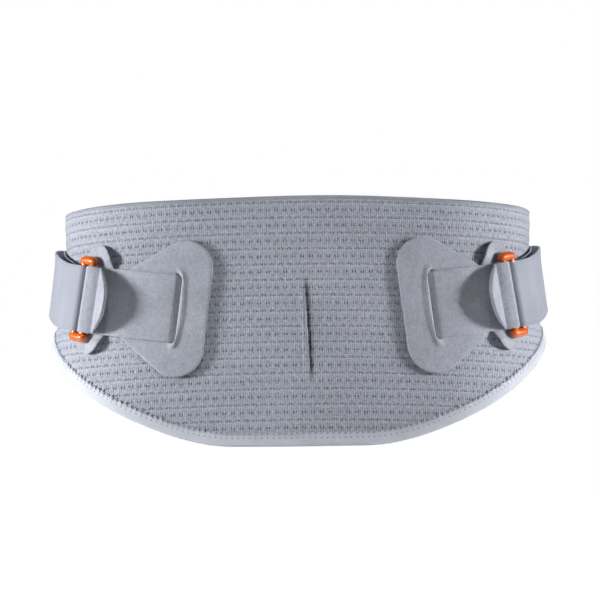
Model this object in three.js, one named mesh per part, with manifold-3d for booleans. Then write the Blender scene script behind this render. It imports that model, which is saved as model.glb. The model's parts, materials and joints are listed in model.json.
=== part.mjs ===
// A lumbar support belt, closed as it is worn, in millimetres. +Z is up, the wearer faces +Y,
// +X is the wearer's right, and the origin is the middle of the waist that the belt goes round.
//
// The belt is an elastic back panel with two front wings that close over each other. On each side an
// elastic strap comes back from the wing, turns round the outer bar of a small ring and returns to the
// side seam. A velour strap holds the ring's inner bar and ends in a grab pad that sticks to the back.
import * as THREE from "three";
import { mergeVertices } from "three/addons/utils/BufferGeometryUtils.js";
import Module from "manifold-3d";

const wasm = await Module();
wasm.setup();

const DEG = Math.PI / 180;

// The form that the belt is closed round: a flat back arc, two tight side arcs and a front arc.
const BACK_RADIUS = 360;
const SIDE_RADIUS = 110;
const FRONT_RADIUS = 268;
const BACK_TURN = 17.5 * DEG;
const SIDE_CENTRE_X = (BACK_RADIUS - SIDE_RADIUS) * Math.sin(BACK_TURN);
const BACK_CENTRE_Y = (BACK_RADIUS - SIDE_RADIUS) * Math.cos(BACK_TURN);
const FRONT_TURN = Math.asin(SIDE_CENTRE_X / (FRONT_RADIUS - SIDE_RADIUS));
const FRONT_CENTRE_Y = -(FRONT_RADIUS - SIDE_RADIUS) * Math.cos(FRONT_TURN);
const BACK_ARC = BACK_RADIUS * BACK_TURN;
const SIDE_ARC = SIDE_RADIUS * (Math.PI - BACK_TURN - FRONT_TURN);
const HALF_GIRTH = BACK_ARC + SIDE_ARC + FRONT_RADIUS * FRONT_TURN;
const SEAM = BACK_ARC + SIDE_RADIUS * (Math.PI / 2 - BACK_TURN); // the widest point, where wing meets back

// How far the form widens for each millimetre downwards, at the back, the side and the front.
const BACK_FLARE = 0.1;
const SIDE_FLARE = 0.125;
const FRONT_FLARE = 0.05;
const SQUEEZE = 4.5; // how deep the strap pulls the side in
const SQUEEZE_FULL = 14; // the pull is full this far above and below the strap's middle
const SQUEEZE_REACH = 60; // and has faded out this far from it

// The belt's edges.
const TOP_AT_BACK = 86;
const TOP_FALL = 18; // from the middle of the back to the middle of the front
const BOTTOM_AT_BACK = -90;
const BOTTOM_RISE = 74;
const RISE_STARTS = 45;
const RISE_ENDS = 272;

// Layers. Offsets are outwards from the outer face of the knitted panel.
const KNIT = 1.8;
const LINING = 0.8;
const LAYER_GAP = 0.3;
const LINING_FACE = -(KNIT + LAYER_GAP + LINING);
const SPLIT_GAP = 0.3; // between the back and a wing, at the seam
const BINDING = 0.8;
const BINDING_GAP = 0.5;
const BOTTOM_BINDING_HEIGHT = 6.5;
const TOP_BINDING_HEIGHT = 3.2;

// The straps. Their middle line climbs from the grab pad to the side and levels out on the wing.
const STRAP_WIDTH = 48;
const STRAP = 1.4;
const STRAP_CLIMB = Math.tan(6 * DEG);
const SLOT_STATION = { left: 88, right: 98 };
const CLIMB_FROM = 84;
const LEVEL_THERE = 7.3;
const CLIMB_ENDS = 230;
const CLIMB_FADE = 60;

// The ring, a rounded rectangle of round bar.
const RING_STATION = 161;
const RING_OFFSET = 7.2;
const BAR_RADIUS = 2.5;
const BAR_SPREAD = 4.5; // from the ring's middle to the middle line of a long bar
const RING_HALF_HEIGHT = STRAP_WIDTH / 2 + 0.9 + BAR_RADIUS;
const RING_CORNER = 3;
const BAR_GAP = 0.3;
const LOOP_RADIUS = BAR_RADIUS + BAR_GAP + STRAP / 2;

// The grab pad, a rounded triangle that points at the ring. Its own frame starts at the slot.
const PAD = 2;
const PAD_OFFSET = 1.8;
const PAD_BACK_EDGE = 24.2;
const PAD_APEX = -74.5; // where the two slopes would meet
const PAD_TIP = -41.5;
const PAD_SLOPE = 34 * DEG;
const PAD_CORNER_TOP = 20;
const PAD_CORNER_BOTTOM = 20.5;
const PAD_CORNER_TIP = 8;
const PAD_SLOT_HALF = 3;
const PAD_HOOK_INSET = 5;

// The wings and their closure.
const WING_PAST_FRONT = 42;
const WING_END = HALF_GIRTH + WING_PAST_FRONT;
const WING_CORNER = 18;
const OUTER_WING_LIFT = 5.6;
const LIFT_STARTS = 400;
const LIFT_ENDS = 452;
const CLOSURE_START = HALF_GIRTH - 34;
const CLOSURE_END = WING_END - 8;
const CLOSURE_HALF_HEIGHT = 29;
const CLOSURE_LEVEL = 27;

const STATION_STEP = 17;
const PANEL_ROWS = 5;
const SEAM_SHIFT = 6.5; // how far round the belt sits from the middle of the wearer's back

const smooth = (low, high, value) => {
  const t = Math.min(1, Math.max(0, (value - low) / (high - low)));
  return t * t * (3 - 2 * t);
};

// ---- The form ----

// The plan at a station, which is the distance round the belt from the middle of the back. Positive
// stations are on the wearer's right, and those past the middle of the front run on to the left side.
function plan(station) {
  if (station < 0 || station > HALF_GIRTH) {
    const mirror = plan(station < 0 ? -station : 2 * HALF_GIRTH - station);
    return { ...mirror, x: -mirror.x, nx: -mirror.nx };
  }
  let turn = station / BACK_RADIUS;
  let [cx, cy, radius] = [0, BACK_CENTRE_Y, BACK_RADIUS];
  if (station > BACK_ARC + SIDE_ARC) {
    turn = Math.PI - (HALF_GIRTH - station) / FRONT_RADIUS;
    [cy, radius] = [FRONT_CENTRE_Y, FRONT_RADIUS];
  } else if (station > BACK_ARC) {
    turn = BACK_TURN + (station - BACK_ARC) / SIDE_RADIUS;
    [cx, cy, radius] = [SIDE_CENTRE_X, 0, SIDE_RADIUS];
  }
  const [nx, ny] = [Math.sin(turn), -Math.cos(turn)];
  return { x: cx + radius * nx, y: cy + radius * ny, nx, ny };
}

const inHalf = (station) => {
  const s = Math.abs(station);
  return s > HALF_GIRTH ? 2 * HALF_GIRTH - s : s;
};

// How far the form stands out of its plan at a height.
function lean(station, z) {
  const s = inHalf(station);
  const flare =
    BACK_FLARE +
    (SIDE_FLARE - BACK_FLARE) * smooth(60, 160, s) +
    (FRONT_FLARE - SIDE_FLARE) * smooth(280, 430, s);
  const band = 1 - smooth(SQUEEZE_FULL, SQUEEZE_REACH, Math.abs(z - strapLevel(s)));
  return -flare * z - SQUEEZE * band * smooth(165, 225, s) * (1 - smooth(290, 360, s));
}

// The height of the straps' middle line: a steady climb that levels out past the side.
function strapLevel(station) {
  const s = Math.abs(station);
  const past = Math.max(0, Math.min(1, (s - CLIMB_ENDS) / CLIMB_FADE));
  const faded = CLIMB_FADE * (past - past * past * 0.5);
  return LEVEL_THERE + STRAP_CLIMB * (Math.min(s, CLIMB_ENDS) - CLIMB_FROM + faded);
}

// A point of the belt: offset is outwards from the outer face of the knitted panel.
function onForm(station, z, offset) {
  const { x, y, nx, ny } = plan(station);
  const out = lean(station, z) + offset;
  return new THREE.Vector3(x + nx * out, y + ny * out, z);
}

const topEdge = (station) => {
  const share = (1 - Math.cos((Math.PI * inHalf(station)) / HALF_GIRTH)) / 2;
  return TOP_AT_BACK - TOP_FALL * share;
};
const bottomEdge = (station) =>
  BOTTOM_AT_BACK + BOTTOM_RISE * smooth(RISE_STARTS, RISE_ENDS, inHalf(station));

// A point of a strap: along is a station on its middle line and across is upwards over its width.
function onStrap(along, across, offset) {
  const climb = Math.atan((strapLevel(along + 1) - strapLevel(along - 1)) / 2);
  const station = along - across * Math.sin(climb);
  return onForm(station, strapLevel(along) + across * Math.cos(climb), offset);
}

// The ring's own flat frame: t runs forwards, n outwards and w up the ring.
const RING = (() => {
  const origin = onStrap(RING_STATION, 0, RING_OFFSET);
  const t = onStrap(RING_STATION + 1, 0, RING_OFFSET)
    .sub(onStrap(RING_STATION - 1, 0, RING_OFFSET))
    .normalize();
  const up = onStrap(RING_STATION, 10, RING_OFFSET).sub(onStrap(RING_STATION, -10, RING_OFFSET));
  const n = new THREE.Vector3().crossVectors(t, up).normalize();
  const w = new THREE.Vector3().crossVectors(n, t).normalize();
  return { origin, t, n, w };
})();

const inRing = (t, n, w) =>
  RING.origin.clone().addScaledVector(RING.t, t).addScaledVector(RING.n, n).addScaledVector(RING.w, w);

// A point of a strap by its distance t from the ring: flat in the ring's frame near the ring, and
// following the form further away.
function nearRing(t, offset, across) {
  const flat = inRing(t, offset - RING_OFFSET, across);
  return flat.lerp(onStrap(RING_STATION + t, across, offset), smooth(12, 30, Math.abs(t)));
}

// ---- Solids ----

function geometryOf(points, faces) {
  const positions = new Float32Array(points.flatMap((p) => [p.x, p.y, p.z]));
  const geometry = new THREE.BufferGeometry();
  geometry.setAttribute("position", new THREE.BufferAttribute(positions, 3));
  geometry.setIndex(faces.flat());
  return geometry;
}

const quad = (a, b, c, d) => [a, b, c, a, c, d];

// A closed sheet between a front and a back surface, each a function of two whole-number steps. The
// front faces along (step i) x (step j).
function sheet(ni, nj, front, back) {
  const points = [];
  const id = (i, j, layer) => (layer * (ni + 1) + i) * (nj + 1) + j;
  for (const surface of [front, back]) {
    for (let i = 0; i <= ni; i++) {
      for (let j = 0; j <= nj; j++) points.push(surface(i, j));
    }
  }
  const faces = [];
  for (let i = 0; i < ni; i++) {
    for (let j = 0; j < nj; j++) {
      faces.push(quad(id(i, j, 0), id(i + 1, j, 0), id(i + 1, j + 1, 0), id(i, j + 1, 0)));
      faces.push(quad(id(i, j, 1), id(i, j + 1, 1), id(i + 1, j + 1, 1), id(i + 1, j, 1)));
    }
    faces.push(quad(id(i, 0, 0), id(i, 0, 1), id(i + 1, 0, 1), id(i + 1, 0, 0)));
    faces.push(quad(id(i, nj, 0), id(i + 1, nj, 0), id(i + 1, nj, 1), id(i, nj, 1)));
  }
  for (let j = 0; j < nj; j++) {
    faces.push(quad(id(0, j, 0), id(0, j + 1, 0), id(0, j + 1, 1), id(0, j, 1)));
    faces.push(quad(id(ni, j, 0), id(ni, j, 1), id(ni, j + 1, 1), id(ni, j + 1, 0)));
  }
  return geometryOf(points, faces);
}

// A closed plate inside a star-shaped outline of [along, up] points that runs anticlockwise, drawn
// as rings that shrink to the outline's middle.
function plate(outline, middle, rings, front, back) {
  const count = outline.length;
  const points = [];
  for (const surface of [front, back]) {
    points.push(surface(middle[0], middle[1], 0));
    for (let ring = 1; ring <= rings; ring++) {
      for (const [a, b] of outline) {
        const share = ring / rings;
        points.push(
          surface(middle[0] + (a - middle[0]) * share, middle[1] + (b - middle[1]) * share, share),
        );
      }
    }
  }
  const layerSize = 1 + rings * count;
  const id = (layer, ring, k) => layer * layerSize + 1 + (ring - 1) * count + (k % count);
  const faces = [];
  for (let k = 0; k < count; k++) {
    faces.push([0, id(0, 1, k), id(0, 1, k + 1)]);
    faces.push([layerSize, id(1, 1, k + 1), id(1, 1, k)]);
    for (let ring = 1; ring < rings; ring++) {
      const [a, b] = [id(0, ring, k), id(0, ring, k + 1)];
      const [c, d] = [id(0, ring + 1, k), id(0, ring + 1, k + 1)];
      faces.push(quad(a, c, d, b));
      faces.push(quad(a + layerSize, b + layerSize, d + layerSize, c + layerSize));
    }
    const [e, f] = [id(0, rings, k), id(0, rings, k + 1)];
    faces.push(quad(e, e + layerSize, f + layerSize, f));
  }
  return geometryOf(points, faces);
}

// A section carried through a list of rings of points. It is capped unless it closes on itself.
function sweep(rings, section, closed) {
  const size = section.length;
  const points = rings.flat();
  const faces = [];
  const steps = closed ? rings.length : rings.length - 1;
  for (let r = 0; r < steps; r++) {
    const next = (r + 1) % rings.length;
    for (let k = 0; k < size; k++) {
      const m = (k + 1) % size;
      faces.push(quad(r * size + k, r * size + m, next * size + m, next * size + k));
    }
  }
  if (!closed) {
    const cap = THREE.ShapeUtils.triangulateShape(section, []);
    const last = (rings.length - 1) * size;
    for (const [a, b, c] of cap) {
      faces.push([c, b, a]);
      faces.push([last + a, last + b, last + c]);
    }
  }
  return geometryOf(points, faces);
}

const stationsBetween = (from, to) => {
  const count = Math.ceil((to - from) / STATION_STEP);
  return Array.from({ length: count + 1 }, (_, k) => from + ((to - from) * k) / count);
};

// A layer of the belt between two edges that are functions of the station.
function layer(stations, rows, low, high, face, thickness) {
  const at = (i, j, offset) => {
    const s = stations[i];
    return onForm(s, low(s) + ((high(s) - low(s)) * j) / rows, offset(s));
  };
  return sheet(
    stations.length - 1,
    rows,
    (i, j) => at(i, j, face),
    (i, j) => at(i, j, (s) => face(s) - thickness),
  );
}

// A binding folded round one edge of the belt: a U of tape, open towards the belt.
function binding(stations, edge, height, upwards, face) {
  const inner = LINING_FACE - BINDING_GAP;
  const legs = [
    [0, BINDING_GAP + BINDING],
    [height, BINDING_GAP + BINDING],
    [height, BINDING_GAP],
    [BINDING, BINDING_GAP],
    [BINDING, inner],
    [height, inner],
    [height, inner - BINDING],
    [0, inner - BINDING],
  ];
  const sign = upwards ? 1 : -1;
  const section = (upwards ? [...legs].reverse() : legs).map(
    ([rise, out]) => new THREE.Vector2(sign * rise, out),
  );
  const rings = stations.map((s) => section.map((p) => onForm(s, edge(s) + p.x, face(s) + p.y)));
  return sweep(rings, section, false);
}

// A ribbon along a path of [t, offset] points, which it follows with half its thickness on each
// side. halfWidth is a function of the step along the path.
function ribbon(path, thickness, place, halfWidth, rows = 2) {
  const normals = path.map((_, k) => {
    const [a, b] = [path[Math.max(0, k - 1)], path[Math.min(path.length - 1, k + 1)]];
    const length = Math.hypot(b[0] - a[0], b[1] - a[1]);
    return [-(b[1] - a[1]) / length, (b[0] - a[0]) / length];
  });
  const at = (i, j, side) => {
    const [t, offset] = path[i];
    const [nt, no] = normals[i];
    const half = (side * thickness) / 2;
    const across = halfWidth(i) * ((2 * j) / rows - 1);
    return place(t + nt * half, offset + no * half, across);
  };
  return sheet(path.length - 1, rows, (i, j) => at(i, j, 1), (i, j) => at(i, j, -1));
}

// Points of an arc in the ring's [t, offset] plane, round one of its bars.
const loop = (barT, from, to, steps) =>
  Array.from({ length: steps + 1 }, (_, k) => {
    const angle = (from + ((to - from) * k) / steps) * DEG;
    return [barT + LOOP_RADIUS * Math.cos(angle), RING_OFFSET + LOOP_RADIUS * Math.sin(angle)];
  });

// Steps along a smooth curve through a few [t, offset] points.
const through = (points, steps) => {
  const curve = new THREE.SplineCurve(points.map((p) => new THREE.Vector2(...p)));
  return curve.getSpacedPoints(steps).map((p) => [p.x, p.y]);
};

function solidOf(geometry) {
  const bare = new THREE.BufferGeometry();
  bare.setAttribute("position", geometry.getAttribute("position"));
  bare.setIndex(geometry.getIndex());
  const merged = mergeVertices(bare, 1e-3);
  return new wasm.Manifold(
    new wasm.Mesh({
      numProp: 3,
      vertProperties: merged.attributes.position.array,
      triVerts: new Uint32Array(merged.index.array),
    }),
  );
}

function geometryFrom(solid) {
  const { vertProperties, triVerts } = solid.getMesh();
  const geometry = new THREE.BufferGeometry();
  geometry.setAttribute("position", new THREE.BufferAttribute(vertProperties, 3));
  geometry.setIndex(new THREE.BufferAttribute(triVerts, 1));
  return geometry;
}

// ---- Materials ----

const cloth = (color, roughness) =>
  new THREE.MeshStandardMaterial({ color, roughness, metalness: 0 });
const MATERIALS = {
  knit: cloth(0x9a9ea8, 0.9),
  lining: cloth(0xb7bac2, 0.95),
  binding: cloth(0xd2d5df, 0.8),
  elastic: cloth(0xbfc3cd, 0.75),
  velour: cloth(0xa8acb5, 0.95),
  hook: cloth(0x8f939c, 0.7),
  ring: new THREE.MeshStandardMaterial({ color: 0xe0641a, roughness: 0.35, metalness: 0 }),
  padFoam: cloth(0x83878f, 0.9),
};

// ---- The back ----

const flat = () => 0;

function backPanel(stations) {
  const low = (s) => bottomEdge(s) + BINDING + BINDING_GAP;
  const high = (s) => topEdge(s) - BINDING - BINDING_GAP;
  return {
    back_panel: layer(stations, PANEL_ROWS, low, high, flat, KNIT),
    back_lining: layer(stations, PANEL_ROWS, low, high, () => -KNIT - LAYER_GAP, LINING),
  };
}

function backBindings(stations) {
  return {
    back_bottom_binding: binding(stations, bottomEdge, BOTTOM_BINDING_HEIGHT, true, flat),
    back_top_binding: binding(stations, topEdge, TOP_BINDING_HEIGHT, false, flat),
  };
}

// The short upright seam in the middle of the back, a sewn welt that holds the pads' inner divider.
function centreSeam() {
  const [low, high] = [-32, 22];
  const rows = 8;
  return sheet(
    1,
    rows,
    (i, j) => onForm(SEAM_SHIFT + i * 2 - 1, low + ((high - low) * j) / rows, 0.8),
    (i, j) => onForm(SEAM_SHIFT + i * 2 - 1, low + ((high - low) * j) / rows, 0.3),
  );
}

// A pressure pad on the lining, beside the spine: a rounded shield that is thickest in its middle.
const SACRAL = {
  station: 44,
  level: -8,
  halfWidth: 32,
  halfHeight: 44,
  hook: 0.9,
  rim: 5,
  crown: 5,
};

function sacralOutline(inset, count) {
  return Array.from({ length: count }, (_, k) => {
    const angle = (k / count) * 2 * Math.PI;
    const [c, s] = [Math.cos(angle), Math.sin(angle)];
    const taper = 1 - 0.16 * s;
    return [
      SACRAL.station + (SACRAL.halfWidth - inset) * taper * Math.sign(c) * Math.abs(c) ** 0.8,
      SACRAL.level + (SACRAL.halfHeight - inset) * Math.sign(s) * Math.abs(s) ** 0.8,
    ];
  });
}

function sacralPad() {
  const middle = [SACRAL.station, SACRAL.level];
  const hookFace = LINING_FACE - LAYER_GAP;
  const padFace = hookFace - SACRAL.hook - LAYER_GAP;
  const inside = (share) => padFace - SACRAL.rim - SACRAL.crown * (1 - share * share);
  return {
    sacral_pad: plate(
      sacralOutline(0, 28),
      middle,
      3,
      (s, z) => onForm(s, z, padFace),
      (s, z, share) => onForm(s, z, inside(share)),
    ),
    sacral_pad_hook: plate(
      sacralOutline(9, 20),
      middle,
      2,
      (s, z) => onForm(s, z, hookFace),
      (s, z) => onForm(s, z, hookFace - SACRAL.hook),
    ),
  };
}

// ---- The ring and what is round it ----

// The oval patch sewn to the back under the ring, which keeps the ring off the knit.
const GUARD = {
  middle: -5,
  halfWidth: 15.5,
  halfHeight: 39,
  offset: 0.6,
  thickness: 1.2,
  curl: 3.2, // how far its two ends stand up, towards the middle of the back
};

function guardPatch() {
  const outline = Array.from({ length: 24 }, (_, k) => {
    const angle = (k / 24) * 2 * Math.PI;
    return [
      GUARD.middle + GUARD.halfWidth * Math.cos(angle),
      GUARD.halfHeight * Math.sin(angle),
    ];
  });
  const at = (t, w, thickness) => {
    const curl = GUARD.curl * smooth(4, 24, -t) * smooth(24, 34, Math.abs(w));
    return onStrap(RING_STATION + t, w, GUARD.offset + curl + thickness);
  };
  return plate(
    outline,
    [GUARD.middle, 0],
    4,
    (t, w) => at(t, w, GUARD.thickness),
    (t, w) => at(t, w, 0),
  );
}

function ring() {
  const path = [];
  const cornerSteps = 3;
  const corners = [
    [1, 1, 0],
    [-1, 1, 90],
    [-1, -1, 180],
    [1, -1, 270],
  ];
  for (const [st, sw, start] of corners) {
    for (let k = 0; k <= cornerSteps; k++) {
      const angle = (start + (90 * k) / cornerSteps) * DEG;
      const [c, s] = [Math.cos(angle), Math.sin(angle)];
      path.push({
        t: st * (BAR_SPREAD - RING_CORNER) + RING_CORNER * c,
        w: sw * (RING_HALF_HEIGHT - RING_CORNER) + RING_CORNER * s,
        c,
        s,
      });
    }
  }
  const sides = 10;
  const section = Array.from({ length: sides }, (_, k) => {
    const angle = (k / sides) * 2 * Math.PI;
    return new THREE.Vector2(BAR_RADIUS * Math.cos(angle), BAR_RADIUS * Math.sin(angle));
  });
  const rings = path.map(({ t, w, c, s }) =>
    section.map((p) => inRing(t + p.x * c, -p.y, w + p.x * s)),
  );
  return sweep(rings, section, true);
}

// The elastic strap on the back: sewn to the belt at the side seam, round the ring's outer bar and
// back to the seam on the outside.
function elasticStrap() {
  const toSeam = SEAM - RING_STATION - SPLIT_GAP / 2;
  const inner = through(
    [
      [toSeam - 3, 1.6],
      [toSeam - 16, 1.6],
      [toSeam - 34, 2.8],
      [22, 3.6],
      [BAR_SPREAD + 0.6, RING_OFFSET - LOOP_RADIUS],
    ],
    12,
  );
  const outer = through(
    [
      [BAR_SPREAD + 0.6, RING_OFFSET + LOOP_RADIUS],
      [20, 10],
      [50, 8.6],
      [toSeam, 7.6],
    ],
    12,
  );
  const path = [...inner, ...loop(BAR_SPREAD, 270, 90, 8), ...outer];
  return ribbon(path, STRAP, nearRing, () => STRAP_WIDTH / 2);
}

// The velour strap: out of the pad's slot, under the ring's inner bar, round it and back over
// itself, to a half-round free end that stands up as a finger grip.
const GRIP = { crease: -13, creaseOffset: 5.9, length: 20, lift: 30 * DEG };

function padStrap(slotStation) {
  const slot = slotStation - RING_STATION;
  const under = through(
    [
      [slot - 1.4, 2.2],
      [slot, 3.5],
      [slot + 4, 4.85],
      [slot + 16, 5.1],
      [-34, 5],
      [-14, 3.9],
      [-BAR_SPREAD - 0.6, RING_OFFSET - LOOP_RADIUS],
    ],
    18,
  );
  const over = through(
    [
      [-BAR_SPREAD - 0.6, RING_OFFSET + LOOP_RADIUS],
      [-9.4, 8.9],
      [GRIP.crease, GRIP.creaseOffset],
    ],
    4,
  );
  const grip = Array.from({ length: 8 }, (_, k) => {
    const share = Math.sin(((k + 1) / 8) * (Math.PI / 2)) * 0.995;
    return [
      GRIP.crease - GRIP.length * share * Math.cos(GRIP.lift),
      GRIP.creaseOffset + GRIP.length * share * Math.sin(GRIP.lift),
    ];
  });
  const path = [...under, ...loop(-BAR_SPREAD, -90, 90, 8), ...over, ...grip];
  const gripStart = path.length - grip.length;
  const halfWidth = (i) => {
    const share = i < gripStart ? 0 : Math.sin(((i - gripStart + 1) / 8) * (Math.PI / 2)) * 0.995;
    return (STRAP_WIDTH / 2) * Math.sqrt(1 - share * share);
  };
  return ribbon(path, STRAP, nearRing, halfWidth);
}

// An outline with extra points on every side that is longer than the limit.
function withShortSides(outline, limit) {
  return outline.flatMap((a, k) => {
    const b = outline[(k + 1) % outline.length];
    const parts = Math.ceil(Math.hypot(b[0] - a[0], b[1] - a[1]) / limit);
    return Array.from({ length: parts }, (_, i) => [
      a[0] + ((b[0] - a[0]) * i) / parts,
      a[1] + ((b[1] - a[1]) * i) / parts,
    ]);
  });
}

// The pad's outline in [station, across] steps from the slot, anticlockwise from outside: two
// slopes from a rounded tip at the ring to two round corners at the back edge.
function padOutline(inset) {
  const points = [];
  const arc = (p, w, radius, from, to, steps) => {
    for (let k = 0; k <= steps; k++) {
      const angle = (from + ((to - from) * k) / steps) * DEG;
      points.push([-(p + radius * Math.cos(angle)), w + radius * Math.sin(angle)]);
    }
  };
  const slope = PAD_SLOPE / DEG;
  const corner = (p, radius, sign, from, to, steps) => {
    const rise = ((p - PAD_APEX) * Math.sin(PAD_SLOPE) - radius) / Math.cos(PAD_SLOPE);
    arc(p, sign * rise, radius - inset, from, to, steps);
  };
  const tip = PAD_TIP + PAD_CORNER_TIP;
  corner(PAD_BACK_EDGE - PAD_CORNER_TOP, PAD_CORNER_TOP, 1, 0, 90 + slope, 6);
  corner(tip, PAD_CORNER_TIP, 1, 90 + slope, 180, 2);
  corner(tip, PAD_CORNER_TIP, -1, 180, 270 - slope, 2);
  corner(PAD_BACK_EDGE - PAD_CORNER_BOTTOM, PAD_CORNER_BOTTOM, -1, 270 - slope, 360, 6);
  return withShortSides(points.reverse(), 11);
}

function grabPad(slotStation) {
  const at = (a, w, offset) => onStrap(slotStation + a, w, offset);
  const solid = (inset, rings, face, thickness) =>
    plate(
      padOutline(inset),
      [10, 0],
      rings,
      (a, w) => at(a, w, face),
      (a, w) => at(a, w, face - thickness),
    );
  const slot = sheet(
    1,
    4,
    (i, j) => at((i * 2 - 1) * PAD_SLOT_HALF, ((j - 2) / 2) * (STRAP_WIDTH / 2 + 0.8), 8),
    (i, j) => at((i * 2 - 1) * PAD_SLOT_HALF, ((j - 2) / 2) * (STRAP_WIDTH / 2 + 0.8), -2),
  );
  const whole = solidOf(solid(0, 4, PAD_OFFSET + PAD, PAD));
  return {
    pad: geometryFrom(whole.subtract(solidOf(slot))),
    pad_hook: solid(PAD_HOOK_INSET, 4, PAD_OFFSET - LAYER_GAP, 0.7),
  };
}

// ---- The wings ----

// Each wing's edges close in to round corners at its free end.
const cornerShare = (station) => {
  const into = Math.max(0, station - (WING_END - WING_CORNER)) / WING_CORNER;
  return 1 - Math.sqrt(Math.max(0, 1 - Math.min(1, into) ** 2));
};
const wingTop = (s) => topEdge(s) - WING_CORNER * cornerShare(s) * 0.94;
const wingBottom = (s) => bottomEdge(s) + WING_CORNER * cornerShare(s) * 0.94;

// How far a wing stands out where it laps over the other one.
const liftOf = (outer) => (s) => (outer ? OUTER_WING_LIFT * smooth(LIFT_STARTS, LIFT_ENDS, s) : 0);

function wingStations() {
  const straight = stationsBetween(SEAM + SPLIT_GAP / 2, WING_END - WING_CORNER);
  const corner = [0.35, 0.65, 0.88, 1].map((share) => WING_END - WING_CORNER * (1 - share));
  return [...straight, ...corner];
}

function wingPanel(outer) {
  const lift = liftOf(outer);
  const stations = wingStations();
  const straight = stations.filter((s) => s <= WING_END - WING_CORNER + 1e-6);
  const low = (s) => wingBottom(s) + BINDING + BINDING_GAP;
  const high = (s) => wingTop(s) - BINDING - BINDING_GAP;
  return {
    wing_panel: layer(stations, PANEL_ROWS, low, high, lift, KNIT),
    wing_lining: layer(stations, PANEL_ROWS, low, high, (s) => lift(s) - KNIT - LAYER_GAP, LINING),
    wing_bottom_binding: binding(straight, wingBottom, BOTTOM_BINDING_HEIGHT, true, lift),
    wing_top_binding: binding(straight, wingTop, TOP_BINDING_HEIGHT, false, lift),
  };
}

// The closure: a hook patch inside the outer wing, and the loop patch on the inner wing that it
// lands on.
function closurePatch(outer) {
  const lift = liftOf(outer);
  const stations = stationsBetween(CLOSURE_START, CLOSURE_END);
  const low = () => CLOSURE_LEVEL - CLOSURE_HALF_HEIGHT;
  const high = () => CLOSURE_LEVEL + CLOSURE_HALF_HEIGHT;
  const hookFace = (s) => lift(s) + LINING_FACE - LAYER_GAP;
  const loopFace = () => 1.1;
  return layer(stations, 4, low, high, outer ? hookFace : loopFace, outer ? 1 : 0.7);
}

// A fabric pull loop sewn near the outer wing's free end, wide enough for the fingers.
const PULL = { from: WING_END - 56, to: WING_END - 12, rise: 13, halfHeight: 21 };

function pullLoop() {
  const lift = liftOf(true);
  const foot = 8;
  const arch = Array.from({ length: 15 }, (_, k) => {
    const share = k / 14;
    const s = PULL.from + foot + (PULL.to - PULL.from - 2 * foot) * share;
    return [s, 1.3 + (PULL.rise - 1.3) * Math.sin(Math.PI * share) ** 0.7];
  });
  const path = [[PULL.from, 1.3], ...arch, [PULL.to, 1.3]];
  return ribbon(
    path,
    STRAP,
    (s, offset, w) => onForm(s, CLOSURE_LEVEL + w, lift(s) + offset),
    () => PULL.halfHeight,
  );
}

// The elastic strap on the wing, from the seam down to the wing's face, and the hook tab sewn on
// its end, which sticks to the wing.
const STRAP_END = 366;
const TAB_START = 350;
const TAB_END = 398;

function wingStrap() {
  const path = through(
    [
      [SEAM + SPLIT_GAP / 2, 7.6],
      [SEAM + 22, 6.2],
      [SEAM + 46, 3],
      [SEAM + 66, 1.6],
      [STRAP_END - 22, 1.5],
      [STRAP_END, 1.5],
    ],
    14,
  );
  const place = (s, offset, w) => onStrap(s, w, offset);
  return ribbon(path, STRAP, place, () => STRAP_WIDTH / 2, 4);
}

function strapTab() {
  const flatPart = through(
    [
      [TAB_START, 3.3],
      [STRAP_END + 1, 3.3],
      [STRAP_END + 8, 1.7],
      [TAB_END - 22, 1.5],
    ],
    7,
  );
  const round = Array.from({ length: 7 }, (_, k) => {
    const share = Math.sin(((k + 1) / 7) * (Math.PI / 2)) * 0.995;
    return [TAB_END - 22 + 22 * share, 1.5];
  });
  const path = [...flatPart, ...round];
  const halfWidth = (i) => {
    const k = i - flatPart.length + 1;
    const share = k < 1 ? 0 : Math.sin((k / 7) * (Math.PI / 2)) * 0.995;
    return (STRAP_WIDTH / 2 - 1) * Math.sqrt(1 - share * share);
  };
  return ribbon(path, STRAP, (s, offset, w) => onStrap(s, w, offset), halfWidth, 4);
}

// ---- The belt ----

function meshOf(name, geometry, material) {
  const mesh = new THREE.Mesh(geometry, MATERIALS[material]);
  mesh.name = name;
  return mesh;
}

function backGroup() {
  const group = new THREE.Group();
  const stations = stationsBetween(-SEAM + SPLIT_GAP / 2, SEAM - SPLIT_GAP / 2);
  const { back_panel, back_lining } = backPanel(stations);
  group.add(meshOf("back_panel", back_panel, "knit"));
  group.add(meshOf("back_lining", back_lining, "lining"));
  for (const [name, geometry] of Object.entries(backBindings(stations))) {
    group.add(meshOf(name, geometry, "binding"));
  }
  group.add(meshOf("centre_seam", centreSeam(), "knit"));
  return group;
}

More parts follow.
